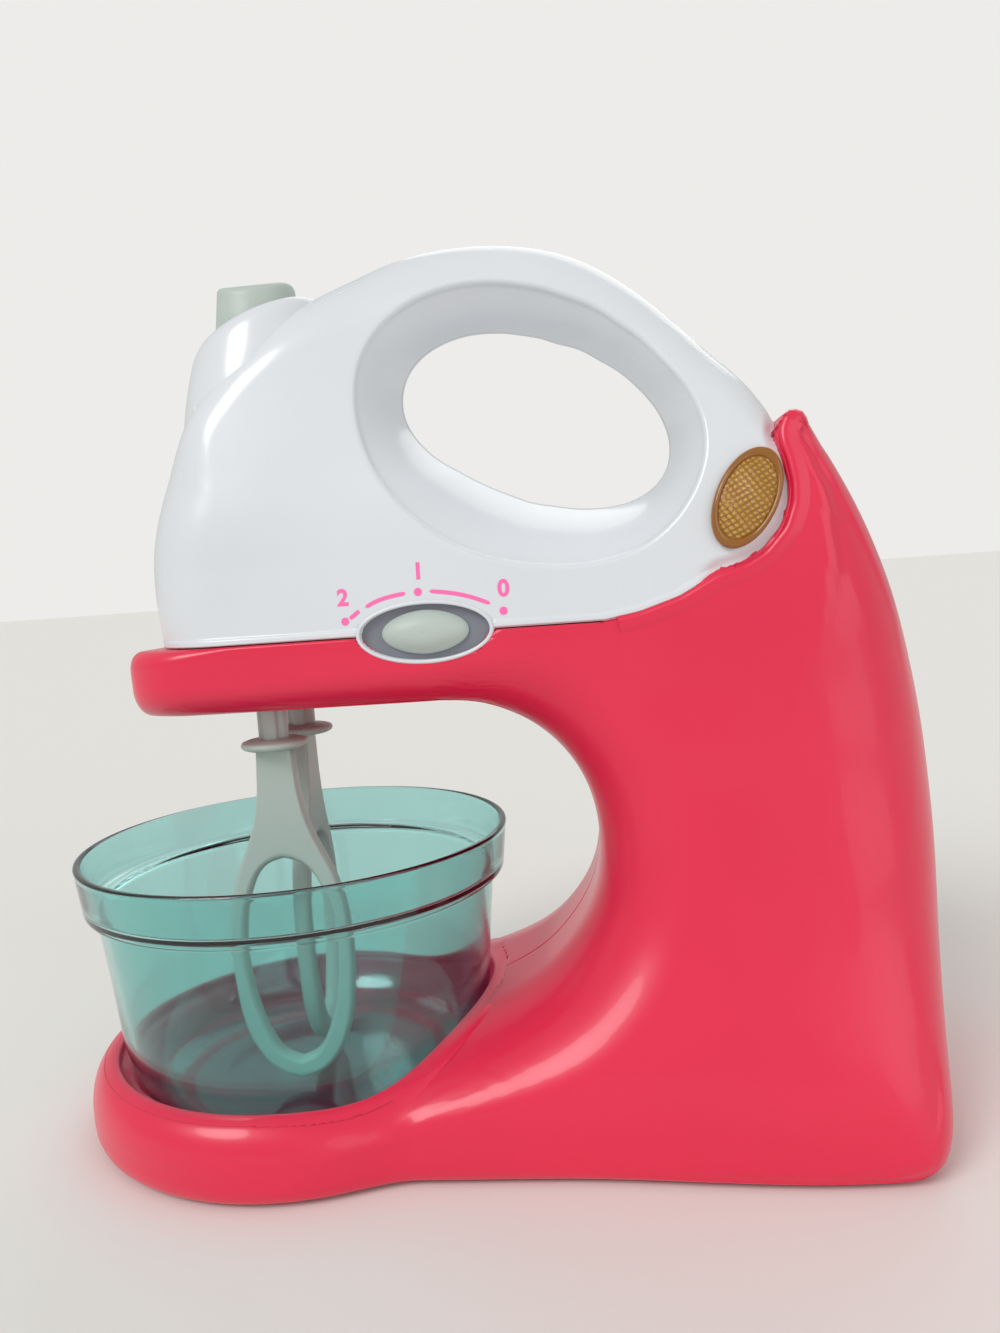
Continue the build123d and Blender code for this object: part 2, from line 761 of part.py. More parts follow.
# Gearbox plates, pillars and bushes
plate_low = (-19, -22)
plate_high = (49, 22)
pillar_points = [(-16.4, -3.5), (-16.4, 3.5), (44.5, -18.5), (44.5, 17)]
bottom_plate = block((plate_low[0], plate_low[1], lower_plate_z), (plate_high[0], plate_high[1], lower_plate_z + plate_thickness))
top_plate = block((plate_low[0], plate_low[1], top_plate_z), (plate_high[0], plate_high[1], pin_top))
bushes = []
for side in (near_side, far_side):
    y = side * spindle_y
    bush_radius = spindle_radius + spindle_fit + bush_wall
    ring = upright(0, y, bush_radius, lower_plate_z, lower_plate_z + plate_thickness + 1)
    bushes.append(ring - upright(0, y, spindle_radius + spindle_fit, 100, 130))
    bottom_plate = bottom_plate - upright(0, y, bush_radius, 100, 130)
    pin_bush_radius = pin_radius + spindle_fit + bush_wall
    ring = upright(0, y, pin_bush_radius, top_plate_z - 0.8, pin_top)
    bushes.append(ring - upright(0, y, pin_radius + spindle_fit, 130, 150))
    top_plate = top_plate - upright(0, y, pin_bush_radius, 130, 150)
finish(Compound(children=bushes), "spindle_bushes")
for x, y in pillar_points:
    bottom_plate = bottom_plate + upright(x, y, 2.4, lower_plate_z + plate_thickness, top_plate_z)
bottom_plate = bottom_plate - upright(idler_x, idler_y, axle_radius, 100, 130)
top_plate = top_plate - upright(idler_x, idler_y, axle_radius, 130, 150)
top_plate = top_plate - upright(motor_x, motor_y, motor_shaft_radius + 1.5, 130, 150)
finish(bottom_plate, "gearbox_base")
finish(top_plate, "gearbox_top")

# Button
with BuildPart() as button:
    with BuildSketch(Plane.XZ):
        with BuildLine():
            Polyline(
                (0, button_bottom),
                (button_radius + 1.6, button_bottom),
                (button_radius + 1.6, button_bottom + button_flange),
                (button_radius, button_bottom + button_flange),
                (button_top_radius, button_top - 1.2),
                (button_top_radius - 1.2, button_top),
                (0, button_top),
                close=True,
            )
        make_face()
    revolve(axis=Axis.Z)
button_stem_bottom = seat_z + seat_thickness + press_switch_height + plunger_height + button_stroke + 0.3
button_part = button.part + upright(0, 0, 2, button_stem_bottom, button_bottom)
button_part = button_part - (upright(0, 0, button_radius - 1.8, 190, button_top - 2.2) - upright(0, 0, 2, 190, 230))
finish(Pos(button_x, 0, 0) * button_part, "top_button")
spring_low = seat_z + seat_thickness
spring_high = button_top - 2.2
with BuildPart() as spring:
    with BuildLine() as coil:
        Helix(
            pitch=(spring_high - spring_low - 2 * spring_wire) / spring_turns,
            height=spring_high - spring_low - 2 * spring_wire,
            radius=spring_radius,
            center=(button_x, 0, spring_low + spring_wire),
        )
    with BuildSketch(Plane(origin=coil.line @ 0, z_dir=coil.line % 0)):
        Circle(spring_wire / 2)
    sweep()
print("spring gap", (spring_high - spring_low - 2 * spring_wire) / spring_turns - spring_wire)
finish(spring.part, "button_spring")
seat_form = crossed(head_side(wall + 0.15), head_front(wall + 0.15), stand_plan(wall + 0.15))
seat = block((button_x - 13, -30, seat_z), (button_x + 13, 30, seat_z + seat_thickness)) & seat_form
finish(seat, "button_seat")
plunger_top = spring_low + press_switch_height + plunger_height
press_switch = block((button_x - 3, -3, spring_low), (button_x + 3, 3, spring_low + press_switch_height))
press_switch = press_switch + upright(button_x, 0, 1.2, spring_low + press_switch_height, plunger_top)
finish(press_switch, "button_switch")

# Lamp
for lamp_side, lens_name in ((near_side, "lamp_lens_near"), (far_side, "lamp_lens_far")):
    ends = sorted((lamp_side * lamp_face_y, lamp_side * (lamp_face_y - lens_depth)))
    lens = oval_along_y(lamp_x, lamp_z, lamp_half_width, lamp_half_length, lamp_turn, ends[0], ends[1])
    finish(lens, lens_name)

# Slide switch
plate_front = tongue_face + switch_recess
track = oval_along_y(switch_x, switch_z, switch_half_length, switch_half_height, 0, plate_front, plate_back)
slot = block((switch_x - slot_half + 0.5, -40, switch_z - 1.6), (switch_x + slot_half - 0.5, -20, switch_z + 1.6))
finish(track - slot, "switch_plate")
with BuildPart() as knob:
    with BuildSketch(Plane.XZ.offset(-plate_front + 0.1 + knob_height)):
        with Locations((switch_x, switch_z)):
            Ellipse(knob_half_length - 2, knob_half_height - 1.4)
    with BuildSketch(Plane.XZ.offset(-plate_front + 0.1)):
        with Locations((switch_x, switch_z)):
            Ellipse(knob_half_length, knob_half_height)
    loft()
stem_end = -arm_half_width + wall + 3.4
knob_part = knob.part + block((switch_x - 3, plate_front - 0.2, switch_z - 1.4), (switch_x + 3, stem_end, switch_z + 1.4))
finish(knob_part, "switch_knob")
slide_body = block((switch_x - 12, stem_end - 0.6, switch_z - 4), (switch_x + 12, stem_end + 6, switch_z + 4))
slide_body = slide_body - block((switch_x - slot_half, stem_end - 1, switch_z - 1.8), (switch_x + slot_half, stem_end + 1.5, switch_z + 1.8))
finish(slide_body, "slide_switch")

# Batteries
cells = []
contacts = []
cell_z = base_bottom + door_thickness + cell_radius + 1.2
for index in (-1, 0, 1):
    y = index * cell_pitch
    with BuildPart() as cell:
        with BuildSketch(Plane.YZ.offset(box_x - cell_length / 2)):
            with Locations((y, cell_z)):
                Circle(cell_radius)
        extrude(amount=cell_length - 1.2)
        with BuildSketch(Plane.YZ.offset(box_x + cell_length / 2 - 1.2)):
            with Locations((y, cell_z)):
                Circle(2.7)
        extrude(amount=1.2)
    cells.append(cell.part)
    for start in (box_x - cell_length / 2 - 1.4, box_x + cell_length / 2 + 0.3):
        contacts.append(block((start, y - 5, cell_z - 5), (start + 1.1, y + 5, cell_z + 5)))
finish(Compound(children=cells), "batteries")
finish(Compound(children=contacts), "battery_contacts")
box_top = cell_z + cell_radius + 2.4
inside_low = (box_x - cell_length / 2 - 1.4, -box_half_width + box_wall, base_bottom - 2)
inside_high = (box_x + cell_length / 2 + 1.4, box_half_width - box_wall, box_top - box_wall)
box_part = block(
    (inside_low[0] - box_wall, -box_half_width, base_bottom + door_thickness + 0.3),
    (inside_high[0] + box_wall, box_half_width, box_top),
)
finish(box_part - block(inside_low, inside_high), "battery_box")
door = block(
    (box_x - door_half_length + door_gap, -door_half_width + door_gap, base_bottom),
    (box_x + door_half_length - door_gap, door_half_width - door_gap, base_bottom + door_thickness),
)
door_screw_x = box_x - door_half_length + 4.5
door = door - upright(door_screw_x, 0, screw_radius + 0.2, 0, 10)
finish(door, "battery_door")
door_screw = upright(door_screw_x, 0, screw_radius, base_bottom, base_bottom + door_thickness + 1)
finish(door_screw + upright(door_screw_x, 0, screw_head_radius, base_bottom - 0.6, base_bottom), "battery_door_screw")
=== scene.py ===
"""Looks of a toy stand mixer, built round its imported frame.

Lengths in this file are millimetres until a mesh is made, where they become metres. The nose is at
-X, the column at +X, and the two halves of the stand and of the head meet on the plane y = 0.
"""

import json
import math

import bmesh
import bpy
import numpy as np
from bpy.props import FloatProperty, PointerProperty, StringProperty
from mathutils import Matrix, Vector


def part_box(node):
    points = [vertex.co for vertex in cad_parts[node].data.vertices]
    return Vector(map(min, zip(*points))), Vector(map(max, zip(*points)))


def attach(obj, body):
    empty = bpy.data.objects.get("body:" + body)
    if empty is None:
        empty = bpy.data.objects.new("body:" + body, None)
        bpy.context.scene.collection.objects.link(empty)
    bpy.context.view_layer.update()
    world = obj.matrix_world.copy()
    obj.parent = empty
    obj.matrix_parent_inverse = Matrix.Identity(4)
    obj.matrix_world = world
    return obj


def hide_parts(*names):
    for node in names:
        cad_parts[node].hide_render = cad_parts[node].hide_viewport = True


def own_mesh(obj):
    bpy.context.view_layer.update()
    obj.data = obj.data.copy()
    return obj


bl_info = {
    "name": "Toy stand mixer",
    "version": (1, 0, 0),
    "blender": (4, 5, 0),
    "location": "View3D > Sidebar > Mixer",
    "description": "Moulded shells, bowl, beaters, lamp and studio of a toy stand mixer",
    "category": "Object",
}

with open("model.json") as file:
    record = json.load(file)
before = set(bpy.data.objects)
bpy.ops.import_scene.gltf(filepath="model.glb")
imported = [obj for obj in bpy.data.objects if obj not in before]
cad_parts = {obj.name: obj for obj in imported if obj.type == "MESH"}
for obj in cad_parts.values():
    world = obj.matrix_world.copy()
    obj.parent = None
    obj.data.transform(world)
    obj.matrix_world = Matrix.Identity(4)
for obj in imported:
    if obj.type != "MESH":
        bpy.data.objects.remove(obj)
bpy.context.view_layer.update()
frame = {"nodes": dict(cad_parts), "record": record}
MM = 0.001


def box_mm(node):
    """Lowest and highest corners of a CAD node, in millimetres."""
    low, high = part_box(node)
    return np.array(low) / MM, np.array(high) / MM


button_low, button_high = box_mm("top_button")
lens_low, lens_high = box_mm("lamp_lens_near")
plate_low, plate_high = box_mm("switch_plate")
knob_low, knob_high = box_mm("switch_knob")

# Surfaces


def spline(points, count):
    """Natural cubic curve through points, its parameter the length of the chords, at count places."""
    p = np.array(points, float)
    t = np.concatenate([[0], np.cumsum(np.linalg.norm(np.diff(p, axis=0), axis=1))])
    h = np.diff(t)
    n = len(p)
    left = np.eye(n)
    right = np.zeros_like(p)
    inner = np.arange(1, n - 1)
    left[inner, inner - 1] = h[:-1]
    left[inner, inner] = 2 * (h[:-1] + h[1:])
    left[inner, inner + 1] = h[1:]
    right[1:-1] = 6 * (np.diff(p[1:], axis=0) / h[1:, None] - np.diff(p[:-1], axis=0) / h[:-1, None])
    bend = np.linalg.solve(left, right)
    u = np.linspace(0, t[-1], count)
    i = np.clip(np.searchsorted(t, u, side="right") - 1, 0, n - 2)
    a = ((t[i + 1] - u) / h[i])[:, None]
    b = ((u - t[i]) / h[i])[:, None]
    lift = (h[i] ** 2 / 6)[:, None]
    return a * p[i] + b * p[i + 1] + lift * ((a**3 - a) * bend[i] + (b**3 - b) * bend[i + 1])


def line(start, end, count):
    """Points on a straight line."""
    return np.linspace(start, end, count)


def joined(*runs):
    """Curves end to end, each without its first point where it repeats the last one's end."""
    return np.concatenate([runs[0]] + [run[1:] for run in runs[1:]])


def even(curve, count):
    """A curve's points spread evenly along its length."""
    t = np.concatenate([[0], np.cumsum(np.linalg.norm(np.diff(curve, axis=0), axis=1))])
    at = np.linspace(0, t[-1], count)
    return np.stack([np.interp(at, t, curve[:, k]) for k in range(curve.shape[1])], -1)


def soften(rows, passes):
    """Each value moved towards the middle of its neighbours, ends kept."""
    rows = np.array(rows, float)
    for _ in range(passes):
        rows[1:-1] = (rows[:-2] + 2 * rows[1:-1] + rows[2:]) / 4
    return rows


def rounding(u, power=2.0):
    """Quarter of a superellipse: 0 at u = 0 with an upright tangent, 1 from u = 1 on."""
    u = np.clip(u, 0, 1)
    return (1 - (1 - u) ** power) ** (1 / power)


def step(low, high, value):
    """0 below low, 1 above high, and smooth between."""
    u = np.clip((value - low) / (high - low), 0, 1)
    return u * u * (3 - 2 * u)


def nearest(points, curve):
    """Distance from each point to a curve's samples, and which sample is nearest."""
    gap = np.linalg.norm(points[:, None, :] - curve[None, :, :], axis=2)
    index = gap.argmin(1)
    return gap[np.arange(len(points)), index], index


def larger(a, b, blend):
    """The larger of two values, rounded where they are closer than blend."""
    h = np.clip(1 - np.abs(a - b) / blend, 0, 1)
    return np.maximum(a, b) + h * h * blend / 4


def right_of(curve):
    """Unit vectors square to a flat curve, on the right of its way along."""
    way = np.gradient(curve, axis=0)
    way = np.stack([way[:, 1], -way[:, 0]], -1)
    return way / np.linalg.norm(way, axis=1, keepdims=True)


def revolve(profile, centre, count):
    """A profile (radius, z) carried round an upright axis: x = cx + r cos t, y = cy + r sin t."""
    t = np.linspace(0, 2 * math.pi, count, endpoint=False)
    x, y = (middle + np.outer(turn, profile[:, 0]) for middle, turn in zip(centre, (np.cos(t), np.sin(t))))
    return np.stack([x, y, np.broadcast_to(profile[:, 1], x.shape)], -1)


def place(name, patches, finish):
    """One mesh from grids of points (rows, columns, 3) in millimetres, with doubles merged.

    A patch is (grid, closed_rows, closed_columns, hidden), where hidden masks the faces left out.
    """
    points, faces, start = [], [], 0
    for grid, wrap_rows, wrap_columns, hidden in patches:
        rows, columns = grid.shape[:2]
        i = np.arange(rows if wrap_rows else rows - 1)
        j = np.arange(columns if wrap_columns else columns - 1)
        i, j = (k.ravel() for k in np.meshgrid(i, j, indexing="ij"))
        i2, j2 = (i + 1) % rows, (j + 1) % columns
        quads = np.stack([i * columns + j, i2 * columns + j, i2 * columns + j2, i * columns + j2], -1)
        flat = grid.reshape(-1, 3)
        if hidden is not None:
            quads = quads[~hidden(flat[quads].mean(1))]
        points.append(flat)
        faces.append(quads + start)
        start += len(flat)
    points, faces = np.concatenate(points) * MM, np.concatenate(faces)
    mesh = bpy.data.meshes.new(name)
    mesh.vertices.add(len(points))
    mesh.vertices.foreach_set("co", points.ravel())
    mesh.loops.add(faces.size)
    mesh.loops.foreach_set("vertex_index", faces.ravel())
    mesh.polygons.add(len(faces))
    mesh.polygons.foreach_set("loop_start", np.arange(len(faces)) * 4)
    mesh.update(calc_edges=True)
    mesh.validate()
    work = bmesh.new()
    work.from_mesh(mesh)
    bmesh.ops.remove_doubles(work, verts=work.verts, dist=2e-6)
    bmesh.ops.dissolve_degenerate(work, edges=work.edges, dist=1e-6)
    bmesh.ops.recalc_face_normals(work, faces=work.faces)
    work.to_mesh(mesh)
    work.free()
    mesh.polygons.foreach_set("use_smooth", np.full(len(mesh.polygons), True))
    mesh.update()
    piece = bpy.data.objects.new(name, mesh)
    bpy.context.scene.collection.objects.link(piece)
    mesh.materials.append(finish)
    return piece


def mirrored(patches):
    """The same patches on the other side of y = 0."""
    flip = np.array([1, -1, 1])
    return [
        (grid * flip, a, b, None if hidden is None else (lambda middle, test=hidden: test(middle * flip)))
        for grid, a, b, hidden in patches
    ]


# Materials


def linear(colour):
    """sRGB hex to linear RGBA."""
    raw = np.array([int(colour.lstrip("#")[k : k + 2], 16) for k in (0, 2, 4)]) / 255
    return (*np.where(raw <= 0.04045, raw / 12.92, ((raw + 0.055) / 1.055) ** 2.4), 1.0)


def blank(name):
    """A new material and its empty node tree."""
    made = bpy.data.materials.new(name)
    made.use_nodes = True
    made.node_tree.nodes.clear()
    return made, made.node_tree


def add(tree, kind, at=(0, 0), inputs=None, links=None, stops=(), **settings):
    """Adds a shader node of a kind with its settings, input values, links and a ramp's two stops."""
    node = tree.nodes.new("ShaderNode" + kind)
    node.location = at
    for key, value in settings.items():
        setattr(node, key, value)
    for key, value in (inputs or {}).items():
        node.inputs[key].default_value = value
    for key, source in (links or {}).items():
        tree.links.new(source, node.inputs[key])
    for k, (position, colour) in enumerate(stops):
        node.color_ramp.elements[k].position = position
        node.color_ramp.elements[k].color = colour
    return node


def tones(colour, dark, light, lift=0.0, span=(0.0, 1.0)):
    """Two stops of a ramp across a span: dark times a colour, and light times it plus lift."""
    base = linear(colour)[:3]
    low, high = [c * dark for c in base], [min(1.0, c * light + lift) for c in base]
    return (span[0], (*low, 1)), (span[1], (*high, 1))


def moulded(name, colour, roughness, coat=0.0, grain_mm=0.5, grain=0.02, drift=0.03, **sockets):
    """Injection-moulded plastic: a plain colour that drifts a little, with a fine tool texture.

    grain_mm is the pitch of the tool's texture and grain its height in millimetres.
    """
    made, tree = blank(name)
    where = {"Vector": add(tree, "TexCoord", (-1000, 0)).outputs["Object"]}
    cloudy = add(tree, "TexNoise", (-760, 200), {"Scale": 18.0, "Detail": 2.0, "Roughness": 0.5}, where)
    drifting = {"Fac": cloudy.outputs["Fac"]}
    around = tones(colour, 1 - drift, 1 + drift, span=(0.3, 0.7))
    shade = add(tree, "ValToRGB", (-520, 200), links=drifting, stops=around)
    pitch = {"Scale": 1.0 / (grain_mm * MM), "Detail": 2.0, "Roughness": 0.55}
    fine = add(tree, "TexNoise", (-760, -200), pitch, where)
    ends = {"To Min": roughness * 0.92, "To Max": roughness * 1.08}
    gloss = add(tree, "MapRange", (-520, -60), ends, {"Value": cloudy.outputs["Fac"]})
    height = {"Strength": 0.5, "Distance": grain * MM}
    bump = add(tree, "Bump", (-520, -260), height, {"Height": fine.outputs["Fac"]})
    sources = {
        "Base Color": shade.outputs["Color"],
        "Roughness": gloss.outputs["Result"],
        "Normal": bump.outputs["Normal"],
    }
    values = {"IOR": 1.5, "Coat Weight": coat, "Coat Roughness": 0.08}
    values.update({key.replace("_", " "): value for key, value in sockets.items()})
    shader = add(tree, "BsdfPrincipled", (-200, 0), values, sources)
    surface = shader.outputs["BSDF"]
    if sockets.get("Transmission_Weight") == 1.0:
        # Light for shadows passes straight through, tinted, as it would through a thin clear wall
        path = add(tree, "LightPath", (-200, 320))
        tint = (*[c**0.5 for c in linear(colour)[:3]], 1)
        clear = add(tree, "BsdfTransparent", (0, -160), {"Color": tint})
        both = {"Fac": path.outputs["Is Shadow Ray"], 1: surface, 2: clear.outputs["BSDF"]}
        surface = add(tree, "MixShader", (140, 120), links=both).outputs["Shader"]
    add(tree, "OutputMaterial", (300, 0), links={"Surface": surface})
    return made


def metal(name, colour, roughness, streak_mm=0.4):
    """Plated or turned metal with fine streaks along one direction."""
    made, tree = blank(name)
    where = {"Vector": add(tree, "TexCoord", (-1000, 0)).outputs["Object"]}
    long_way = add(tree, "Mapping", (-840, 0), {"Scale": (1.0, 1.0, 0.12)}, where)
    pitch = {"Scale": 1.0 / (streak_mm * MM), "Detail": 3.0}
    streaks = add(tree, "TexNoise", (-640, 0), pitch, {"Vector": long_way.outputs["Vector"]}).outputs["Fac"]
    ends = {"To Min": roughness * 0.8, "To Max": roughness * 1.2}
    gloss = add(tree, "MapRange", (-420, -80), ends, {"Value": streaks})
    bump = add(tree, "Bump", (-420, -260), {"Strength": 0.3, "Distance": 0.00002}, {"Height": streaks})
    shade = add(tree, "ValToRGB", (-420, 160), links={"Fac": streaks}, stops=tones(colour, 0.9, 1.06))
    sources = {
        "Base Color": shade.outputs["Color"],
        "Roughness": gloss.outputs["Result"],
        "Normal": bump.outputs["Normal"],
    }
    shader = add(tree, "BsdfPrincipled", (-160, 0), {"Metallic": 1.0}, sources)
    add(tree, "OutputMaterial", (120, 0), links={"Surface": shader.outputs["BSDF"]})
    return made


def prism_lens(colour):
    """Amber clear acrylic with crossed prism grooves about 1.3 mm apart moulded in its back; painted glints
    and painted shade of their facets are laid into its colour.
    """
    made, tree = blank("amber_prism_acrylic")
    where = {"Vector": add(tree, "TexCoord", (-1200, 0)).outputs["Object"]}
    # A wave texture repeats about every 0.314 / scale metres
    pitch = {"Scale": 0.314 / 0.0013, "Distortion": 0.6, "Detail": 0.0}
    shape = {"bands_direction": "X", "wave_profile": "TRI"}
    waves = []
    for k, turn in enumerate((34, -62)):
        turned = add(tree, "Mapping", (-1000, -220 * k), {"Rotation": (0, math.radians(turn), 0)}, where)
        along = {"Vector": turned.outputs["Vector"]}
        waves.append(add(tree, "TexWave", (-800, -220 * k), pitch, along, **shape).outputs["Fac"])
    both = dict(enumerate(waves))
    crossed = add(tree, "Math", (-560, -60), links=both, operation="MULTIPLY").outputs["Value"]
    bump = add(tree, "Bump", (-360, -200), {"Strength": 1.0, "Distance": 0.0005}, {"Height": crossed})
    # The colour runs from dark to light across the crossed grooves: painted shade and painted glints of the
    # prism facets, not the acrylic's own colour
    amber = tones(colour, 0.45, 1.9, lift=0.05)
    shade = add(tree, "ValToRGB", (-360, 160), links={"Fac": crossed}, stops=amber)
    values = {"Roughness": 0.16, "IOR": 1.49, "Transmission Weight": 0.12}
    values.update({"Coat Weight": 0.4, "Coat Roughness": 0.05})
    sources = {"Base Color": shade.outputs["Color"], "Normal": bump.outputs["Normal"]}
    shader = add(tree, "BsdfPrincipled", (-100, 0), values, sources)
    add(tree, "OutputMaterial", (160, 0), links={"Surface": shader.outputs["BSDF"]})
    return made


def finishes(colours):
    """How each finish is made, by its name."""
    clear = {"IOR": 1.59, "Transmission_Weight": 1.0}
    edge = {"coat": 0.4, "grain_mm": 2.0, "grain": 0.005, "Transmission_Weight": 0.25}
    return {
        # Moulded ABS in hot pink: satin, with soft broad highlights and no sparkle
        "stand_plastic": lambda: moulded("moulded_pink_abs", colours.stand, 0.33, 0.25, 0.6, 0.012),
        # Moulded ABS with a pearl pigment: cool white, glossier than the stand
        "head_plastic": lambda: moulded("moulded_pearl_abs", colours.head, 0.26, 0.35, 0.7, 0.008),
        # Moulded polypropylene, grey-green, slightly waxy
        "grey_plastic": lambda: moulded("moulded_grey_polypropylene", colours.grey, 0.42, grain=0.012),
        # Moulded ABS off a matt tool, which takes the shine from the switch's track
        "dark_plastic": lambda: moulded("moulded_dark_abs", colours.track, 0.5, grain_mm=0.4),
        # Natural acetal and ABS of the parts inside
        "inner_plastic": lambda: moulded("moulded_natural_acetal", "#D9D8D2", 0.45),
        # Moulded rubber: dull, with a coarser skin
        "rubber": lambda: moulded("moulded_black_rubber", "#26262A", 0.75, grain_mm=0.4, grain=0.03),
        # Shrunk plastic sleeve: smooth, with slow waves
        "cell_wrap": lambda: moulded("shrink_sleeve", "#3A424C", 0.35, grain_mm=1.5),
        # Zinc plate: pale, with faint drawing streaks
        "steel": lambda: metal("zinc_plated_steel", "#B9BABC", 0.32),
        # Sintered bronze: dull and yellowish
        "brass": lambda: metal("sintered_bronze", "#B8914F", 0.45),
        # Moulded clear polystyrene tinted teal: IOR 1.59, polished tool, so almost no texture
        "clear_teal": lambda: moulded(
            "clear_teal_polystyrene", colours.bowl, 0.05, grain_mm=6.0, grain=0.01, drift=0.01, **clear
        ),
        "amber_clear": lambda: prism_lens(colours.lens),
        # The lens's plain edge: the same amber acrylic, thicker, so browner
        "amber_bead": lambda: moulded("amber_acrylic_edge", "#A3671A", 0.12, **edge),
        # Pad-printed ink, a thin matt film on the plastic
        "ink": lambda: moulded("pad_printed_ink", colours.ink, 0.5, grain_mm=0.3, grain=0.004),
    }


materials = {}


def material(kind):
    """The finish of that name, made once."""
    if kind not in materials:
        makers = finishes(bpy.context.scene.mixer_colours)
        if kind not in makers:
            raise ValueError(f"no finish named {kind}")
        materials[kind] = makers[kind]()
    return materials[kind]


# Forms of the mouldings

# Edge between head and stand round the lamp, from the straight seam up to the horn
TAIL_EDGE = np.array(
    [(91, 131.3), (99.4, 132.7), (109.0, 135.7), (115.6, 139.2), (118.6, 140.7), (124.7, 142.3)]
    + [(129.6, 145.1), (134.4, 150.4), (136.5, 156.0), (136.8, 161.0), (136.0, 166.4), (134.9, 170.6)]
    + [(134.9, 174.0), (136.2, 176.6)]
)
# Places beside y = 0 of the parting groove's floor, flank and edge
SEAM = (0.02, 0.22, 0.46)
# How far the stand's side stands proud of the even side, and how deep it is let down in the tail
PROUD, TAIL_SINK = 0.35, 5.0
# Width of the bead round the switch's track, and how far the side is let down inside it
RIM, TRACK_SINK = 1.0, 4.0
# Print's rise over the nominal half width; the head's even side lies 0.45 mm inside that
PRINT = -0.39
# Points of the C's two edges that lie over the dish and the bowl's recess
DISH = 56
# Height of the stand's lower edge
SILL = 1.0
# Plan radius of the arm's tip, and how far its top is rounded back
TIP_PLAN, TIP_TOP = 24.0, 9.0
# Screw places (x, z) on the far side
STAND_SCREWS = [(-26, 122), (62, 122), (110, 112), (160, 96), (162, 46), (72, 14)]
HEAD_SCREWS = [(28, 200), (120, 183), (92, 147)]
# Beaters: blade thickness and top, middle of the disc over it, and the spindles' distance from y = 0
BLADE_THICKNESS, BLADE_TOP = 5.0, 103.0
DISC_Z, SPINDLE_Y = 103.2, 13.0
# X of the head's nose at the seam
HEAD_NOSE = -26.8


def front_half_width(z):
    """Half width of stand and head at a height, from the foot to the handle's top."""
    heights = [1, 14, 28, 54, 88, 113.5, 131, 160, 188, 213, 227.5, 240]
    widths = [52, 52, 49.5, 42, 36, 34, 34, 31, 23.5, 17, 13, 10]
    fine = np.arange(0, 242, 2.0)
    return np.interp(z, fine, soften(np.interp(fine, heights, widths), 12))


def on_side(x, z, rise):
    """Places set out from the side's even surface by rise."""
    return np.stack([x, -(front_half_width(z) + rise), z], -1)


def nose_width(width, x, nose, radius):
    """Half width drawn in to a rounded nose of that plan radius."""
    d = np.clip(x - nose, 0, radius)
    return np.minimum(width, width - radius + np.sqrt(np.maximum(radius**2 - (radius - d) ** 2, 0)))


def groove(y, depth=0.35, reach=0.45):
    """Depth of the parting line's small V beside y = 0."""
    return depth * np.clip(1 - np.abs(y) / reach, 0, 1)


def tail_edge(count):
    """Edge between head and stand round the lamp, its corners slightly softened."""
    return soften(even(TAIL_EDGE, count), 2)


def white_depth(x, z):
    """How far a place in side view lies inside the head's tail, 0 outside it and above the arm."""
    edge = tail_edge(120)
    gap, index = nearest(np.stack([x, z], -1), edge)
    along = np.gradient(edge, axis=0)[index]
    off = np.stack([x, z], -1) - edge[index]
    left = along[:, 0] * off[:, 1] - along[:, 1] * off[:, 0]
    return np.where((left > 0) & (x > 100) & (x < 142) & (z > 132), gap, 0)


def switch_oval(x, z):
    """Half sizes of the middle of the switch's rim, and places as shares of them from its middle."""
    s = bpy.context.scene.mixer_sizes
    a, b = s.switch_half_length + RIM / 2, s.switch_half_height + RIM / 2
    return a, b, (x - s.switch_x) / a, (z - s.switch_z) / b


def snapped(x, z, reach=0.62):
    """Places in side view, those beside the middle of the switch's rim moved onto it."""
    s = bpy.context.scene.mixer_sizes
    a, b, u, v = switch_oval(x, z)
    q = np.hypot(u, v)
    q = np.where(q < 1e-6, 1e-6, q)
    off = (q - 1) / np.maximum(np.hypot(u / q / a, v / q / b), 1e-9)
    near = (np.abs(off) < reach) & (q > 0.5)
    return np.where(near, s.switch_x + a * u / q, x), np.where(near, s.switch_z + b * v / q, z)


def switch_sink(x, z):
    """How far the side is let down inside the switch's rim."""
    _, _, u, v = switch_oval(x, z)
    return TRACK_SINK * ((np.hypot(u, v) < 0.985) & (z > 100))


def stand_curves():
    """Inner and outer edges of the C in side view, paired point by point from the dish to the nose."""
    s = bpy.context.scene.mixer_sizes
    top, under, nose = s.arm_top, s.arm_bottom, s.arm_nose_x
    half = (top - under) / 2
    throat = [(55, 32.6), (68, 39.5), (78, 49.5), (84, 60.5), (86, 71.5), (85.3, 82.5), (81.3, 93.5)]
    throat += [(74.5, 102.2), (66, 108.4), (57, 112.2), (48, under)]
    back = [(153, SILL), (159.4, 3.0), (162.8, 9.0), (164.9, 20), (168.8, 48), (171.0, 90), (166.2, 125)]
    back += [(156.2, 152.5), (147.6, 168.0), (143.2, 175.2)]
    horn = [(143.2, 175.2), (142.0, 177.4), (140.2, 178.6), (138.3, 178.7), (136.9, 178.0), (136.2, 176.6)]
    arc = np.linspace(0, math.pi / 2, 16)
    inner = joined(
        spline([(0, 20.6), (18, 20.8), (30, 22.8), (42, 27.2), (55, 32.6)], DISH),
        spline(throat, 150),
        line((48, under), (nose + half, under), 60),
        np.stack([nose + half * (1 - np.sin(arc)), under + half * (1 - np.cos(arc))], -1),
    )
    outer = joined(
        line((0, SILL), (55, SILL), DISH),
        even(joined(line((55, SILL), (153, SILL), 40), spline(back, 90)), 100),
        even(joined(spline(horn, 12), tail_edge(60)[::-1]), 51),
        line((92, top), (nose + TIP_TOP, top), 60),
        np.stack([nose + TIP_TOP * (1 - np.sin(arc)), top - half * (1 - np.cos(arc))], -1),
    )
    return inner, outer


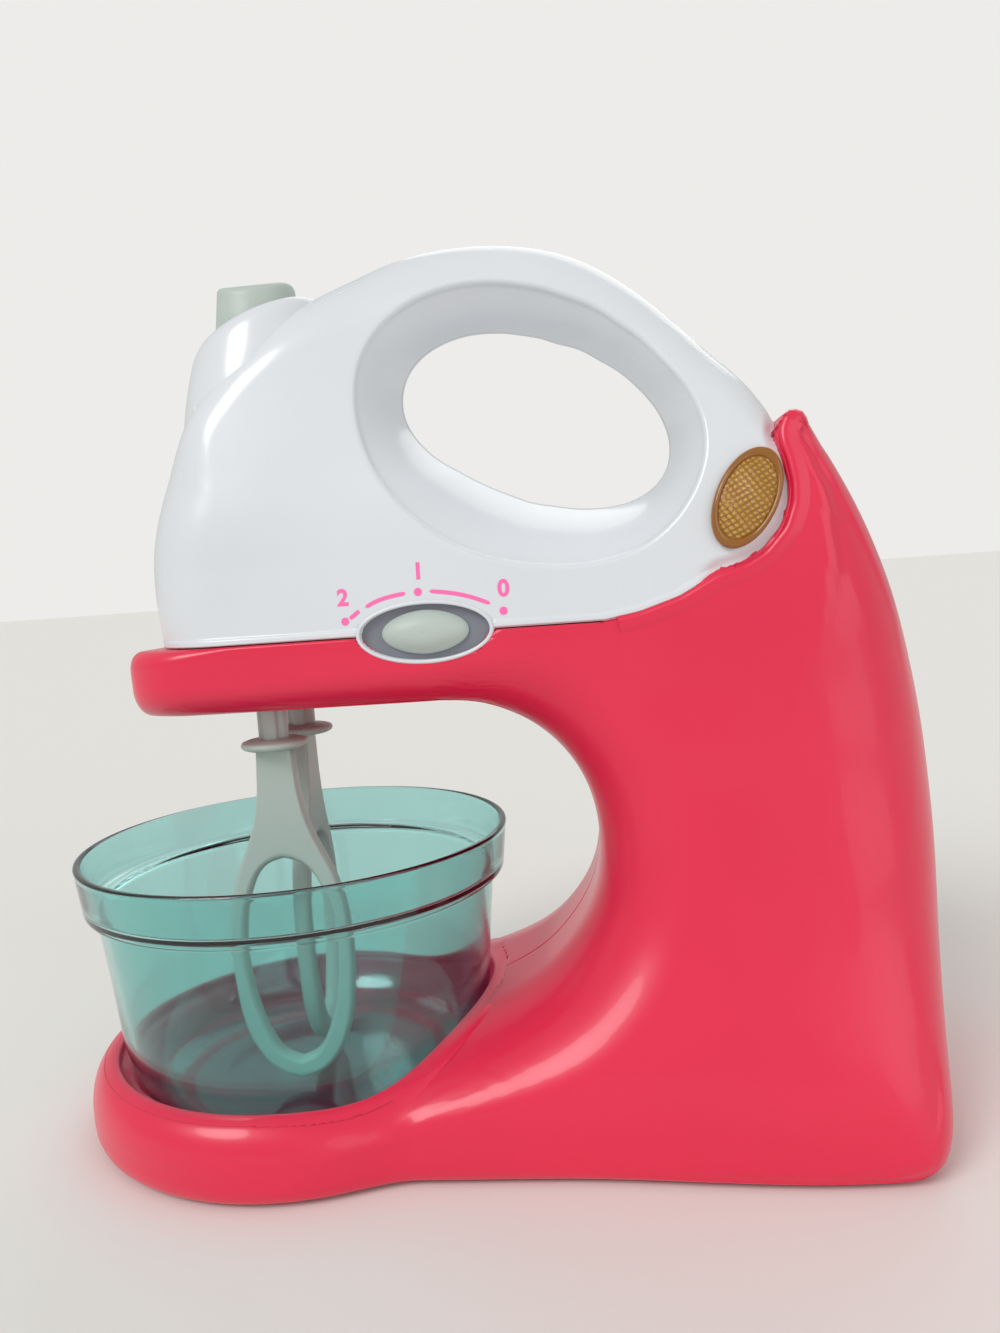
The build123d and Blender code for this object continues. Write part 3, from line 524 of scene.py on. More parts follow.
def edge_face(curve, edge_y, deep):
    """A curve's face from the parting line out to the side's edge, with the groove as deep as told."""
    out = SEAM[-1] + np.linspace(0, 1, 30)[None, 1:] * (edge_y[:, None] - SEAM[-1])
    ys = np.concatenate([np.broadcast_to(SEAM, (len(curve), len(SEAM))), out], 1)
    sink = groove(ys) * deep[:, None]
    xz = curve[:, None, :] + right_of(curve)[:, None, :] * sink[..., None]
    return np.stack([xz[..., 0], -ys, xz[..., 1]], -1)[:, :-1]


def stand_patches(side):
    """One half of the stand: side -1 near, 1 far, drawn as the near one.

    Points spread from the C's inner edge to its outer edge, set out to y = -(half width -
    roundings), where each rounding is a superellipse of the distance to its edge. The dish's front
    is the section at x = 0 turned about the bowl's axis.
    """
    s = bpy.context.scene.mixer_sizes
    inner, outer = stand_curves()
    count, across = len(inner), 84
    share = np.arange(count)
    # Roundings of the edges: reach across the side, and drop in from it
    places = [0, 20, 40, 55, 80, 130, 175, 205, 240, 281]
    in_reach = soften(np.interp(share, places, [11, 10, 12, 15, 20, 24, 20, 10, 8, 8]), 20)
    places = [0, 12, 26, 42, 55, 90, 130, 175, 205, 240, 281]
    in_drop = soften(np.interp(share, places, [6.5, 8, 16, 27, 30, 28, 24, 20, 11, 9, 9]), 20)
    places = [0, 56, 89, 93, 98, 106, 121, 133, 143, 152, 156, 160, 196, 205, 250, 262, 281]
    out_reach = np.interp(share, places, [6, 6, 6, 9, 20, 24, 30, 30, 24, 12, 4, 2.2, 2.2, 1.0, 1.0, 5, 7])
    drops = [3.5, 3.5, 3.5, 8, 22, 27, 33, 33, 24, 12, 4, 1.8, 1.8, 1.0, 1.0, 5, 8]
    out_drop = np.interp(share, places, drops)
    out_reach, out_drop = (np.where(share < 152, soften(row, 30), row) for row in (out_reach, out_drop))
    t = (1 - np.cos(np.linspace(0, math.pi, across))) / 2
    between = inner[:, None, :] * (1 - t)[None, :, None] + outer[:, None, :] * t[None, :, None]
    flat = between.reshape(-1, 2)
    x, z = snapped(flat[:, 0], flat[:, 1]) if side < 0 else flat.T
    flat = np.stack([x, z], -1)
    reach_in, near_in = nearest(flat, inner)
    reach_out, near_out = nearest(flat, outer)
    width = front_half_width(z)
    circle = np.sqrt(np.maximum(s.dish_radius**2 - x**2, 0))
    width = np.where(z < 60, larger(width, circle * (1 - step(24, 44, z)), 5.0), width)
    width = nose_width(width, x, s.arm_nose_x, TIP_PLAN)
    # A slight belly in the side, and a wider foot under the column
    belly = 1.2 * step(4, 40, reach_in) * step(4, 40, reach_out)
    foot_widening = 3.5 * step(70, 135, x) * (1 - step(6, 55, z))
    width = width + belly + foot_widening
    inward = in_drop[near_in] * (1 - rounding(reach_in / in_reach[near_in]))
    inward = inward + out_drop[near_out] * (1 - rounding(reach_out / out_reach[near_out], 2.2))
    y = width + PROUD - inward
    if side < 0:
        y = y - switch_sink(x, z)
    y = y - TAIL_SINK * step(0.5, 1.6, white_depth(x, z))
    y = np.maximum(y, 0.5)
    sheet = np.stack([x, -y, z], -1).reshape(count, across, 3)
    y = y.reshape(count, across)
    face_in = edge_face(inner, y[:, 0], np.where(share < 24, 0.0, 1.0))
    face_out = edge_face(outer, y[:, -1], np.where((share > 85) & (share < 150), 1.0, 0.0))[:, ::-1]
    whole = np.concatenate([face_in, sheet, face_out], 1)
    # Under the bowl the top is let down; the recess patch stands there
    height = whole[..., 2]
    distance = np.hypot(whole[..., 0], whole[..., 1])
    under_bowl = (distance < 57.0) & (height > 8) & (whole[..., 0] < 60) & (height < 45)
    whole[..., 2] = np.where(under_bowl, 3.0, height)
    # The underside is a rim round a panel set in by a millimetre
    low = (whole[..., 2] < 1.3) & (np.abs(whole[..., 1]) < 44)
    whole[..., 2] = np.where(low, 2.0, whole[..., 2])
    turn = np.linspace(math.pi / 2, 0, 60, endpoint=False)
    out, height = -whole[0, :, 1], np.broadcast_to(whole[0, :, 2], (60, whole.shape[1]))
    round_front = np.stack([-np.outer(np.sin(turn), out), -np.outer(np.cos(turn), out), height], -1)
    whole = np.concatenate([round_front, whole], 0)
    return [(whole, False, False, None), recess_patch(in_reach, in_drop, inner), lip_patch()]


def lip_patch():
    """The stand's soft lip round the lamp: a strip carried along the tail's edge, its height over
    the side given by the distance from that edge."""
    edge = even(soften(even(TAIL_EDGE, 160), 6), 160)[6:]
    away = right_of(edge)
    section = [(-0.55, -5.0), (-0.42, -1.6), (-0.3, -0.3), (0.0, 0.35), (0.5, 0.72), (1.3, 0.86)]
    section += [(2.3, 0.74), (3.4, 0.5), (4.6, 0.1)]
    rows = [on_side(*(edge + away * off).T, rise) for off, rise in spline(section, 36)]
    return (np.stack(rows), False, False, None)


def recess_patch(in_reach, in_drop, inner):
    """The bowl's recess: floor, wall, a small lip, and a skirt that lies on the moulding round it."""
    s = bpy.context.scene.mixer_sizes
    turns = np.linspace(0, math.pi, 181)

    def ground(x, y):
        """Height of the moulding's top at a place."""
        x = np.maximum(x, 0)
        known = (inner[:, 1], in_reach, in_drop)
        crest, reach, drop = (np.interp(x, inner[:DISH, 0], row[:DISH]) for row in known)
        circle = np.sqrt(np.maximum(s.dish_radius**2 - x**2, 0))
        width = larger(front_half_width(18.0) + 0 * x, circle, 5.0) + PROUD
        out = np.clip((y - (width - drop)) / drop, 0, 1)
        return crest - reach * (1 - np.sqrt(np.maximum(1 - out**2, 0)))

    def ring(radius, height):
        return np.stack([radius * np.cos(turns), -radius * np.sin(turns), height + 0 * turns], -1)

    def skirt(radius, lift):
        """A ring on the moulding. In front of the axis the section at x = 0 is turned, so there the
        ring's own radius counts as its distance out."""
        x, y = radius * np.cos(turns), radius * np.sin(turns)
        return ring(radius, ground(x, np.where(x > 0, y, radius)) + lift)

    lip = s.bowl_radius_at_lip + 0.9
    reach_out = 57.9 + 2.2 * step(0.15, 0.5, np.cos(turns))
    rows = [skirt(lip + grow, 0.03) for grow in (1.2, 2.0, 3.2)] + [skirt(reach_out, 0.03)]
    rows.append(skirt(reach_out + 0.7, -0.5))
    top = rows[0][:, 2]
    wall = [(0, 4), (15, 4), (29, 4), (32, 4.3), (42, 6.9), (48.4, 13), (51.0, 18)]
    before = [ring(r, z) for r, z in wall]
    lips = ((-0.25, 3.0), (0, 1.3), (0.25, 0.5), (0.65, 0.1))
    before += [ring(lip + grow, top - below) for grow, below in lips]
    return (np.stack(before + rows, 1), False, False, None)


def head_curves():
    """Silhouette of the head from the tail over the arch to the nose, and its seam back to the tail."""
    low = bpy.context.scene.mixer_sizes.arm_top + 0.3
    arch = [(136.2, 176.6), (131, 186.3), (121, 198.3), (106, 213.6), (86, 226.8), (64, 231.3), (42, 229.6)]
    arch += [(30, 225.4), (19, 219.8), (8, 212.4), (-3, 203.8), (-13, 192.6), (-20, 180), (-25, 167)]
    arch += [(-27.8, 154), (-28.0, 143), (HEAD_NOSE, low)]
    return spline(arch, 300), joined(line((HEAD_NOSE, low), (91, low), 90), tail_edge(110))


# The handle's opening seen from its middle: angles in degrees and radii, first of the rim on the
# side, then of the narrowest edge at the parting line
OPENING_RIM = (
    [-174.8, -158.4, -140, -119.3, -98.4, -83.6, -67.2, -53.2, -38.4, -24.5, -15.1]
    + [-3.7, 11.7, 36.8, 67.2, 90.1, 105.7, 122.9, 137.9, 151, 161.6, 171.8],
    [42.7, 41.3, 39.9, 39.4, 39.7, 41.1, 44.0, 46.1, 46.3, 45.2, 43.6]
    + [39.5, 33.5, 28.7, 27.4, 29.4, 32.3, 36.6, 40.5, 43.5, 44.4, 43.9],
)
OPENING_HOLE = (
    [-170.1, -147.5, -128, -108.8, -79.6, -60.1, -42.7, -29.5, -17.8, -5.8]
    + [10.6, 33.3, 67.6, 94.9, 114, 133.8, 147.9, 157.5, 166.8, 177.7],
    [31.5, 24.7, 22.4, 22.0, 24.9, 30.1, 36.4, 39.2, 37.9, 33.9]
    + [27.8, 22.2, 19.2, 20.9, 24.3, 29.7, 34.0, 36.0, 36.4, 35.3],
)


def opening_radius(angle, outline):
    """Distance from the opening's centre to one of its outlines, at an angle in degrees."""
    a, r = np.array(outline, float)
    fine = np.arange(-540, 541, 2.0)
    knots = np.concatenate([a - 360, a, a + 360])
    return np.interp(angle, fine, soften(np.interp(fine, knots, np.tile(r, 3)), 14))


def head_patches(side):
    """One half of the head: side -1 near, 1 far, drawn as the near one.

    Rays leave the middle of the handle's opening. Each runs out through the throat, over the rim's
    small edge, along the side at y = -(half width - roundings by the distance to the silhouette),
    and round to the parting line.
    """
    s = bpy.context.scene.mixer_sizes
    centre = np.array([s.opening_x, s.opening_z])
    arch, seam = head_curves()
    along = np.arange(len(arch))
    places = [0, 30, 90, 160, 185, 225, 245, 299]
    reach = soften(np.interp(along, places, [9, 13, 17, 17, 12, 12, 20, 22]), 20)
    places[3] = 155
    keep = soften(np.interp(along, places, [0.5, 0.12, 0.02, 0.02, 0.5, 0.5, 0.34, 0.3]), 12)
    ray = joined(arch, seam)[:-1] - centre
    angle = np.degrees(np.arctan2(ray[:, 1], ray[:, 0]))
    far_out = np.linalg.norm(ray, axis=1)
    way = ray / far_out[:, None]
    rim, hole = opening_radius(angle, OPENING_RIM), opening_radius(angle, OPENING_HOLE)

    def half_width(points):
        """Distance from the parting plane to the side at a place in side view."""
        x, z = points[:, 0], points[:, 1]
        gap, index = nearest(points, arch)
        front = 1 - step(0, 46, x)
        fuller = front * np.interp(z, [150, 175, 200, 222, 232], [0, 1.6, 3.6, 4.6, 3.0])
        full = front_half_width(z) - 0.1 + fuller
        y = full * (keep[index] + (1 - keep[index]) * rounding(gap / reach[index], 2.1))
        seam_gap, _ = nearest(points, seam)
        # A small bead over the straight seam, and a hollow beside the lamp
        lamp_side = step(112, 118, x)
        bead = 0.55 * (1 - step(1.3, 2.1, seam_gap)) * (1 - lamp_side)
        y = y - 0.35 + bead - 0.5 * (1 - step(0.0, 0.5, seam_gap))
        y = y - 1.3 * (1 - step(1.2, 4.2, seam_gap)) * lamp_side
        if side < 0:
            y = y - switch_sink(x, z)
        return np.maximum(y, 0.5)

    def at(radius):
        points = centre + way * radius[:, None]
        return np.stack(snapped(points[:, 0], points[:, 1]), -1) if side < 0 else points

    edge = 1.5
    rim_y = half_width(at(rim + edge))
    rows = [(at(hole + sink), np.full_like(hole, y)) for sink, y in zip((0.35, 0.13, 0), SEAM)]
    for u in np.linspace(0.06, 1.0, 18):
        bow = 0.18 * math.sin(math.pi * u)
        r = hole + (rim - hole) * (u - bow * 0.6)
        rows.append((at(r), SEAM[-1] + (rim_y - edge - SEAM[-1]) * (u + bow * 0.35)))
    for turn in np.linspace(0, math.pi / 2, 8)[1:]:
        r = rim + edge * (1 - math.cos(turn))
        rows.append((at(r), rim_y - edge + edge * math.sin(turn)))
    for u in np.sin(np.linspace(0, math.pi / 2, 64))[1:]:
        points = at((rim + edge) + (far_out - rim - edge) * u)
        rows.append((points, half_width(points)))
    last = rows[-1][1]
    for u in np.linspace(1, 0, 9)[1:-1]:
        rows.append((at(far_out), SEAM[-1] + (last - SEAM[-1]) * u))
    for y, sink in zip(SEAM[::-1], (0.0, 0.15, 0.35)):
        rows.append((at(far_out - sink), np.full_like(hole, y)))
    grid = np.stack([np.stack([p[:, 0], -y, p[:, 1]], -1) for p, y in rows], 1)
    return [(grid, True, False, None), collar_patch()]


def collar_patch():
    """Near half of the collar round the button: a leaning-in wall and a rounded top on a sloping
    plane, carried half a turn round the button's axis."""
    s = bpy.context.scene.mixer_sizes
    turns = np.linspace(math.pi, 2 * math.pi, 121)
    bore = s.button_radius
    wall = [(24.0, 34.0), (22.4, 20.0), (20.9, 12.0), (19.3, 6.2), (18.5, 3.9), (17.6, 2.3), (16.5, 1.1)]
    wall += [(15.3, 0.4), (13.9, 0.05), (bore + 1.0, 0.0), (bore + 0.45, 0.12), (bore + 0.1, 0.5)]
    wall += [(bore, 1.2), (bore, 9.0)]
    rows = []
    for radius, below in spline(wall, 60):
        x = s.button_x + radius * np.cos(turns)
        plane = 216.6 + 0.39 * (x - s.button_x)
        rows.append(np.stack([x, radius * np.sin(turns), plane - below], -1))
    return (np.stack(rows, 1), False, False, None)


def oval_grid(centre, half_length, half_height, turn, shares, count, point=2.0):
    """Places on rings round an oval, scaled by shares, its long side turned by degrees from X.

    point 2 is an ellipse; below 2 it draws the ends out to soft points.
    """
    t = np.linspace(0, 2 * math.pi, count, endpoint=False)
    c = np.cos(t)
    u = np.sign(c) * np.abs(c) ** (2 / point) * half_length
    v = np.sin(t) * half_height
    turn = math.radians(turn)
    x = u * math.cos(turn) - v * math.sin(turn)
    z = u * math.sin(turn) + v * math.cos(turn)
    return centre[0] + shares[:, None] * x[None, :], centre[1] + shares[:, None] * z[None, :]


def with_wells(patches, places):
    """Patches with the faces round each screw left out, and a well let in there: a soft lip that
    follows the surface, a bore of 3.2 mm radius and a seat ring under the screw's head."""
    sheet, closed_rows, closed_columns, _ = patches[0]
    flat = sheet.reshape(-1, 3)
    spots = np.array(places, float)
    room, bore, seat_y = 3.9, 3.2, -8.4

    def hidden(middle):
        gap = np.linalg.norm(middle[:, None, [0, 2]] - spots[None, :, :], axis=2)
        return (gap < room).any(1) & (middle[:, 1] < -11)

    out = [(sheet, closed_rows, closed_columns, hidden)] + patches[1:]
    turns = np.linspace(0, 2 * math.pi, 49)[:-1]
    lip = ((5.6, -0.02), (5.0, 0.06), (4.2, 0.06), (3.6, -0.1), (3.3, -0.5), (bore, -1.2))
    # Only the side itself is followed, not the faces near the parting line
    inner_side = 1000.0 * (flat[None, :, 1] > -9)
    for x, z in places:
        rows = []
        for radius, deep in lip:
            ring = np.stack([x + radius * np.cos(turns), z + radius * np.sin(turns)], -1)
            gap = np.linalg.norm(ring[:, None, :] - flat[None, :, [0, 2]], axis=2) + inner_side
            close = np.argpartition(gap, 4, axis=1)[:, :4]
            weight = 1 / (np.take_along_axis(gap, close, 1) + 0.05) ** 2
            ground = (flat[close, 1] * weight).sum(1) / weight.sum(1)
            rows.append(np.stack([ring[:, 0], ground - deep, ring[:, 1]], -1))
        for radius in (bore, 1.2):
            px, pz = x + radius * np.cos(turns), z + radius * np.sin(turns)
            rows.append(np.stack([px, np.full_like(px, seat_y), pz], -1))
        out.append((np.stack(rows), False, True, None))
    return out


# The lens: its middle, and the share of the way out where its prisms end and its bead begins
LENS_MIDDLE = ((lens_low[0] + lens_high[0]) / 2, (lens_low[2] + lens_high[2]) / 2)
LENS_BEAD = 0.805


def lens_patch():
    """Lamp lens: a bead round its edge, a groove, and a low dome cut with crossed prisms."""
    s = bpy.context.scene.mixer_sizes
    shares = np.concatenate([np.linspace(0.012, 0.8, 96), np.linspace(0.81, 1.0, 24), [1.005, 1.005]])
    x, z = oval_grid(LENS_MIDDLE, s.lamp_half_length, s.lamp_half_width, 90 + s.lamp_turn, shares, 240)
    q = np.broadcast_to(shares[:, None], x.shape)
    dome = 0.5 + 1.5 * np.sqrt(np.maximum(1 - (q / 0.86) ** 2, 0))
    pitch, turn = 1.25, math.radians(33)
    first = (x * math.cos(turn) + z * math.sin(turn)) / pitch
    second = (-x * math.sin(turn - 0.25) + z * math.cos(turn - 0.25)) / pitch
    ridge = (np.abs(first % 1 - 0.5) + np.abs(second % 1 - 0.5)) - 0.5
    dome = dome + 0.34 * ridge * (1 - step(0.7, 0.8, q))
    bead = 0.55 + 1.0 * np.sqrt(np.maximum(1 - ((q - 0.905) / 0.1) ** 2, 0))
    rise = np.where(q < LENS_BEAD, dome, bead)
    rise[-2] = 0.0
    rise[-1] = -1.2
    return (on_side(x, z, rise), False, True, None)


def switch_patch():
    """Bead round the switch's track with its inner wall; closed rings on the even side surface."""
    s = bpy.context.scene.mixer_sizes
    spans = [(1.25, -1.2), (1.1, 0.0), (0.95, 0.45), (0.7, 0.72), (0.4, 0.78), (0.15, 0.62), (0.0, 0.25)]
    spans += [(0.0, -1.6), (-0.6, -1.62)]
    rows = []
    for grow, rise in spans:
        half = (s.switch_half_length + grow, s.switch_half_height + grow)
        x, z = oval_grid((s.switch_x, s.switch_z), *half, 0, np.array([1.0]), 200)
        rows.append(on_side(x, z, rise)[0])
    return (np.stack(rows), False, True, None)


def blade_patches():
    """A beater's flat loop: rays from its middle between two outlines, each half as thick as a
    superellipse of the distance to the nearer outline."""
    outer = [(0, 9), (5.2, 10.6), (10, 14.8), (14.2, 23), (16.5, 35), (17.1, 48), (16.2, 58), (13.6, 67.5)]
    outer += [(10.2, 75), (7.2, 83), (5.6, 91), (4.9, 98), (4.7, BLADE_TOP)]
    hole = [(0, 15), (4.3, 17), (8.2, 23), (11.2, 33), (12.6, 45), (12.0, 55), (9.6, 63.5)]
    hole += [(5.4, 69.6), (0, 71.6)]
    turns = np.linspace(-math.pi / 2, math.pi / 2, 81)
    middle = np.array([0, 45.0])

    def reach(points):
        off = spline(points, 400) - middle
        return np.interp(turns, np.arctan2(off[:, 1], off[:, 0]), np.hypot(off[:, 0], off[:, 1]))

    r_in, r_out = reach(hole), reach(outer)
    top = turns > math.atan2(BLADE_TOP - middle[1], 4.7)
    r_out = np.where(top, (BLADE_TOP - middle[1]) / np.sin(turns), r_out)
    way = np.stack([np.cos(turns), np.sin(turns)], -1)
    t = (1 - np.cos(np.linspace(0, math.pi, 25))) / 2
    span = (r_out - r_in)[:, None]
    points = middle + way[:, None, :] * (r_in[:, None] + span * t[None, :])[..., None]
    x, z = points[..., 0], points[..., 1]
    gap = np.minimum(span * t[None, :], span * (1 - t)[None, :])
    # From this height up the blade keeps its thickness into the disc, so a strip closes its side
    into_disc = 96
    gap = np.where(z > into_disc, np.maximum(gap, z - into_disc), gap)
    thick = BLADE_THICKNESS / 2 * rounding(gap / 1.9, 2.2)
    front, back = np.stack([x, -thick, z], -1), np.stack([x, thick, z], -1)
    first = int(np.argmax(z[:, -1] > into_disc)) - 1
    side = np.stack([front[first:, -1], back[first:, -1]], 1)
    flip = np.array([-1, 1, 1])
    grids = (front, back, side, front * flip, back * flip, side * flip)
    return [(grid, False, False, None) for grid in grids]


def shaft_patches():
    """A beater's disc, and its shaft with four flutes: r = 4 - 0.9 e^(-(u / 0.14)^2) round each."""
    low, high = DISC_Z - 1.3, DISC_Z + 1.3
    disc = [(0, low), (7.4, low), (8.6, low + 0.5), (9.0, DISC_Z), (8.6, high - 0.5)]
    disc += [(7.2, high), (4.0, high + 0.3)]
    t = np.linspace(0, 2 * math.pi, 96, endpoint=False)
    flute = 4.0 - 0.9 * np.exp(-((((t / (math.pi / 2)) % 1) - 0.5) / 0.14) ** 2)
    z = np.array([high, 129.7, 130.3, 130.5, 130.5])
    r = flute[:, None] * np.array([1, 1, 0.93, 0.8, 0.0])[None, :]
    shaft = np.stack([r * np.cos(t)[:, None], r * np.sin(t)[:, None], np.broadcast_to(z, r.shape)], -1)
    disc = revolve(even(np.array(disc), 60), (0, 0), 96)
    return [(disc, True, False, None), (shaft, True, False, None)]


# Sizes and colours


def size(name, description, default):
    """A size that a user may change. It has no unit of Blender's, because those count in metres."""
    return FloatProperty(name=name, description=description, default=float(default))


def tint(name, description, default):
    """A colour that a user may change, as sRGB hex."""
    return StringProperty(name=name, description=description, default=default)


class MixerSizes(bpy.types.PropertyGroup):
    """Sizes in millimetres and the lamp's lean in degrees, taken from the frame where it has them."""

    arm_nose_x: size("Arm nose", "X of the arm's tip", -38.0)
    arm_top: size("Arm top", "Height of the seam", 131.0)
    arm_bottom: size("Arm underside", "Height under the arm", 113.5)
    dish_radius: size("Dish radius", "Dish at its widest", 60.6)
    bowl_radius_at_lip: size("Bowl at the lip", "Bowl's radius where it enters the dish", 52.2)
    opening_x: size("Opening X", "Middle of the handle's opening", 75.5)
    opening_z: size("Opening Z", "Height of the opening's middle", 186.5)
    button_x: size("Button X", "Button's axis", (button_low[0] + button_high[0]) / 2)
    button_radius: size("Collar bore", "Hole for the button", 12.6)
    button_top: size("Button top", "Height", button_high[2])
    switch_x: size("Switch X", "Middle of the track", (plate_low[0] + plate_high[0]) / 2)
    switch_z: size("Switch Z", "Middle of the track", (plate_low[2] + plate_high[2]) / 2)
    switch_half_length: size("Track half length", "Along the seam", (plate_high[0] - plate_low[0]) / 2)
    switch_half_height: size("Track half height", "Across the seam", (plate_high[2] - plate_low[2]) / 2)
    lamp_half_length: size("Lens half length", "Along the lens", 12.7)
    lamp_half_width: size("Lens half width", "Across the lens", 7.3)
    lamp_turn: size("Lamp lean", "Degrees from upright", -27.0)
    knob_half_length: size("Knob half length", "Along the seam", 10.8)
    knob_half_height: size("Knob half height", "Across the seam", 5.4)


class MixerColours(bpy.types.PropertyGroup):
    """Colours as sRGB hex."""

    stand: tint("Stand", "Hot pink ABS", "#E41E48")
    head: tint("Head", "Pearl white ABS", "#DDE1E6")
    grey: tint("Grey parts", "Button, knob and beaters", "#B7C3BD")
    track: tint("Track", "Slide switch track", "#7C7E88")
    bowl: tint("Bowl", "Clear teal polystyrene", "#B4E5E2")
    lens: tint("Lens", "Amber acrylic", "#D98E1F")
    ink: tint("Print", "Printed marks", "#FF6FB4")


# Operators


def settle(piece, body, slot, *nodes):
    """Sets a piece on its body and hides the CAD nodes it stands for. Its slot is not used."""
    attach(piece, body)
    if nodes:
        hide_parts(*nodes)


def build(name, patches, body, slot, *nodes):
    """A settled piece made from patches in its slot's finish."""
    piece = place(name, patches, material(slot))
    settle(piece, body, slot, *nodes)
    return piece


class MIXER_OT_hidden(bpy.types.Operator):
    """Finishes of the CAD nodes (works, batteries, feet and fasteners), and the button's coil: a welded
    copy of its node"""

    bl_idname = "mixer.hidden"
    bl_label = "Works and fasteners"

    def execute(self, context):
        slots = {row["node"]: row["material_slot"] for row in frame["record"]["subparts"]}
        for node, piece in frame["nodes"].items():
            piece.data.materials.clear()
            piece.data.materials.append(material(slots[node]))
        coil = bpy.data.objects.new("button_coil", frame["nodes"]["button_spring"].data.copy())
        context.scene.collection.objects.link(coil)
        form = bmesh.new()
        form.from_mesh(coil.data)
        bmesh.ops.remove_doubles(form, verts=form.verts, dist=0.00001)
        form.to_mesh(coil.data)
        form.free()
        settle(coil, "stand", "steel", "button_spring")
        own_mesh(coil)
        return {"FINISHED"}


class MIXER_OT_stand(bpy.types.Operator):
    """Both halves of the C-shaped stand with the bowl's recess"""

    bl_idname = "mixer.stand"
    bl_label = "Stand shells"

    def execute(self, context):
        far = mirrored(with_wells(stand_patches(1), STAND_SCREWS))
        build("stand_near", stand_patches(-1), "stand", "stand_plastic", "stand_shell_near")
        build("stand_far", far, "stand", "stand_plastic", "stand_shell_far")
        return {"FINISHED"}


class MIXER_OT_head(bpy.types.Operator):
    """Both halves of the head, with the handle's opening and the button's collar"""

    bl_idname = "mixer.head"
    bl_label = "Head shells"

    def execute(self, context):
        near, far = head_patches(-1) + [switch_patch()], mirrored(with_wells(head_patches(1), HEAD_SCREWS))
        build("head_near", near, "stand", "head_plastic", "head_shell_near")
        build("head_far", far, "stand", "head_plastic", "head_shell_far")
        return {"FINISHED"}


class MIXER_OT_button(bpy.types.Operator):
    """The button on top: a cone-sided cap with a soft edge and a crowned top"""

    bl_idname = "mixer.button"
    bl_label = "Button"

    def execute(self, context):
        s = context.scene.mixer_sizes
        top, foot = s.button_top, 204.0
        profile = joined(
            line((0, foot), (12.1, foot), 6),
            line((12.1, foot), (12.1, 211.5), 8),
            line((12.1, 211.5), (10.45, top - 1.3), 24),
            spline([(10.45, top - 1.3), (10.2, top - 0.6), (9.7, top - 0.15), (9.0, top)], 8),
            line((9.0, top), (0, top), 20),
        )
        grid = revolve(profile, (s.button_x, 0), 128)
        # The top is crowned across the mixer, so its near and far edges lie lower
        crown = 3.0 * (grid[..., 1] / 10.4) ** 2
        grid[..., 2] -= crown * step(216, top, grid[..., 2])
        build("button_cap", [(grid, True, False, None)], "button", "grey_plastic", "top_button")
        return {"FINISHED"}


class MIXER_OT_switch(bpy.types.Operator):
    """Slide switch: a plain track plate and a knob like a soft-pointed lens, swollen by
    rise (1 - q^2.6)^0.8, where q is the share of the way to its edge"""

    bl_idname = "mixer.switch"
    bl_label = "Slide switch"

    def execute(self, context):
        s = context.scene.mixer_sizes
        shares, half = np.linspace(0.01, 1.0, 24), (s.switch_half_length + 0.3, s.switch_half_height + 0.3)
        x, z = oval_grid((s.switch_x, s.switch_z), *half, 0, shares, 128)
        plate = [(on_side(x, z, -1.45), False, True, None)]
        build("switch_track", plate, "stand", "dark_plastic", "switch_plate")
        shares = np.concatenate([np.linspace(0.01, 0.9, 30), np.linspace(0.92, 1.0, 10), [1.0]])
        middle = (float(knob_low[0] + knob_high[0]) / 2, s.switch_z)
        x, z = oval_grid(middle, s.knob_half_length, s.knob_half_height, 0, shares, 160, point=1.75)
        q = np.broadcast_to(shares[:, None], x.shape)
        rise = -1.0 + 3.3 * np.maximum(1 - q**2.6, 0) ** 0.8
        rise[-1] = -1.4
        knob = [(on_side(x, z, rise), False, True, None)]
        build("switch_slider", knob, "slide_knob", "grey_plastic", "switch_knob")
        return {"FINISHED"}


class MIXER_OT_lamps(bpy.types.Operator):
    """Lamp lenses, near and far, with a browner bead round each"""

    bl_idname = "mixer.lamps"
    bl_label = "Lamp lenses"

    def execute(self, context):
        s = context.scene.mixer_sizes
        patches = [lens_patch()]
        lean = math.radians(90 + s.lamp_turn)
        for name, form, node in (
            ("lens_near", patches, "lamp_lens_near"),
            ("lens_far", mirrored(patches), "lamp_lens_far"),
        ):
            lens = build(name, form, "stand", "amber_clear", node)
            lens.data.materials.append(material("amber_bead"))
            centre = np.empty(len(lens.data.polygons) * 3)
            lens.data.polygons.foreach_get("center", centre)
            centre = centre.reshape(-1, 3) / MM
            dx, dz = centre[:, 0] - LENS_MIDDLE[0], centre[:, 2] - LENS_MIDDLE[1]
            u = (dx * math.cos(lean) + dz * math.sin(lean)) / s.lamp_half_length
            v = (-dx * math.sin(lean) + dz * math.cos(lean)) / s.lamp_half_width
            lens.data.polygons.foreach_set("material_index", (np.hypot(u, v) > LENS_BEAD).astype(int))
        return {"FINISHED"}


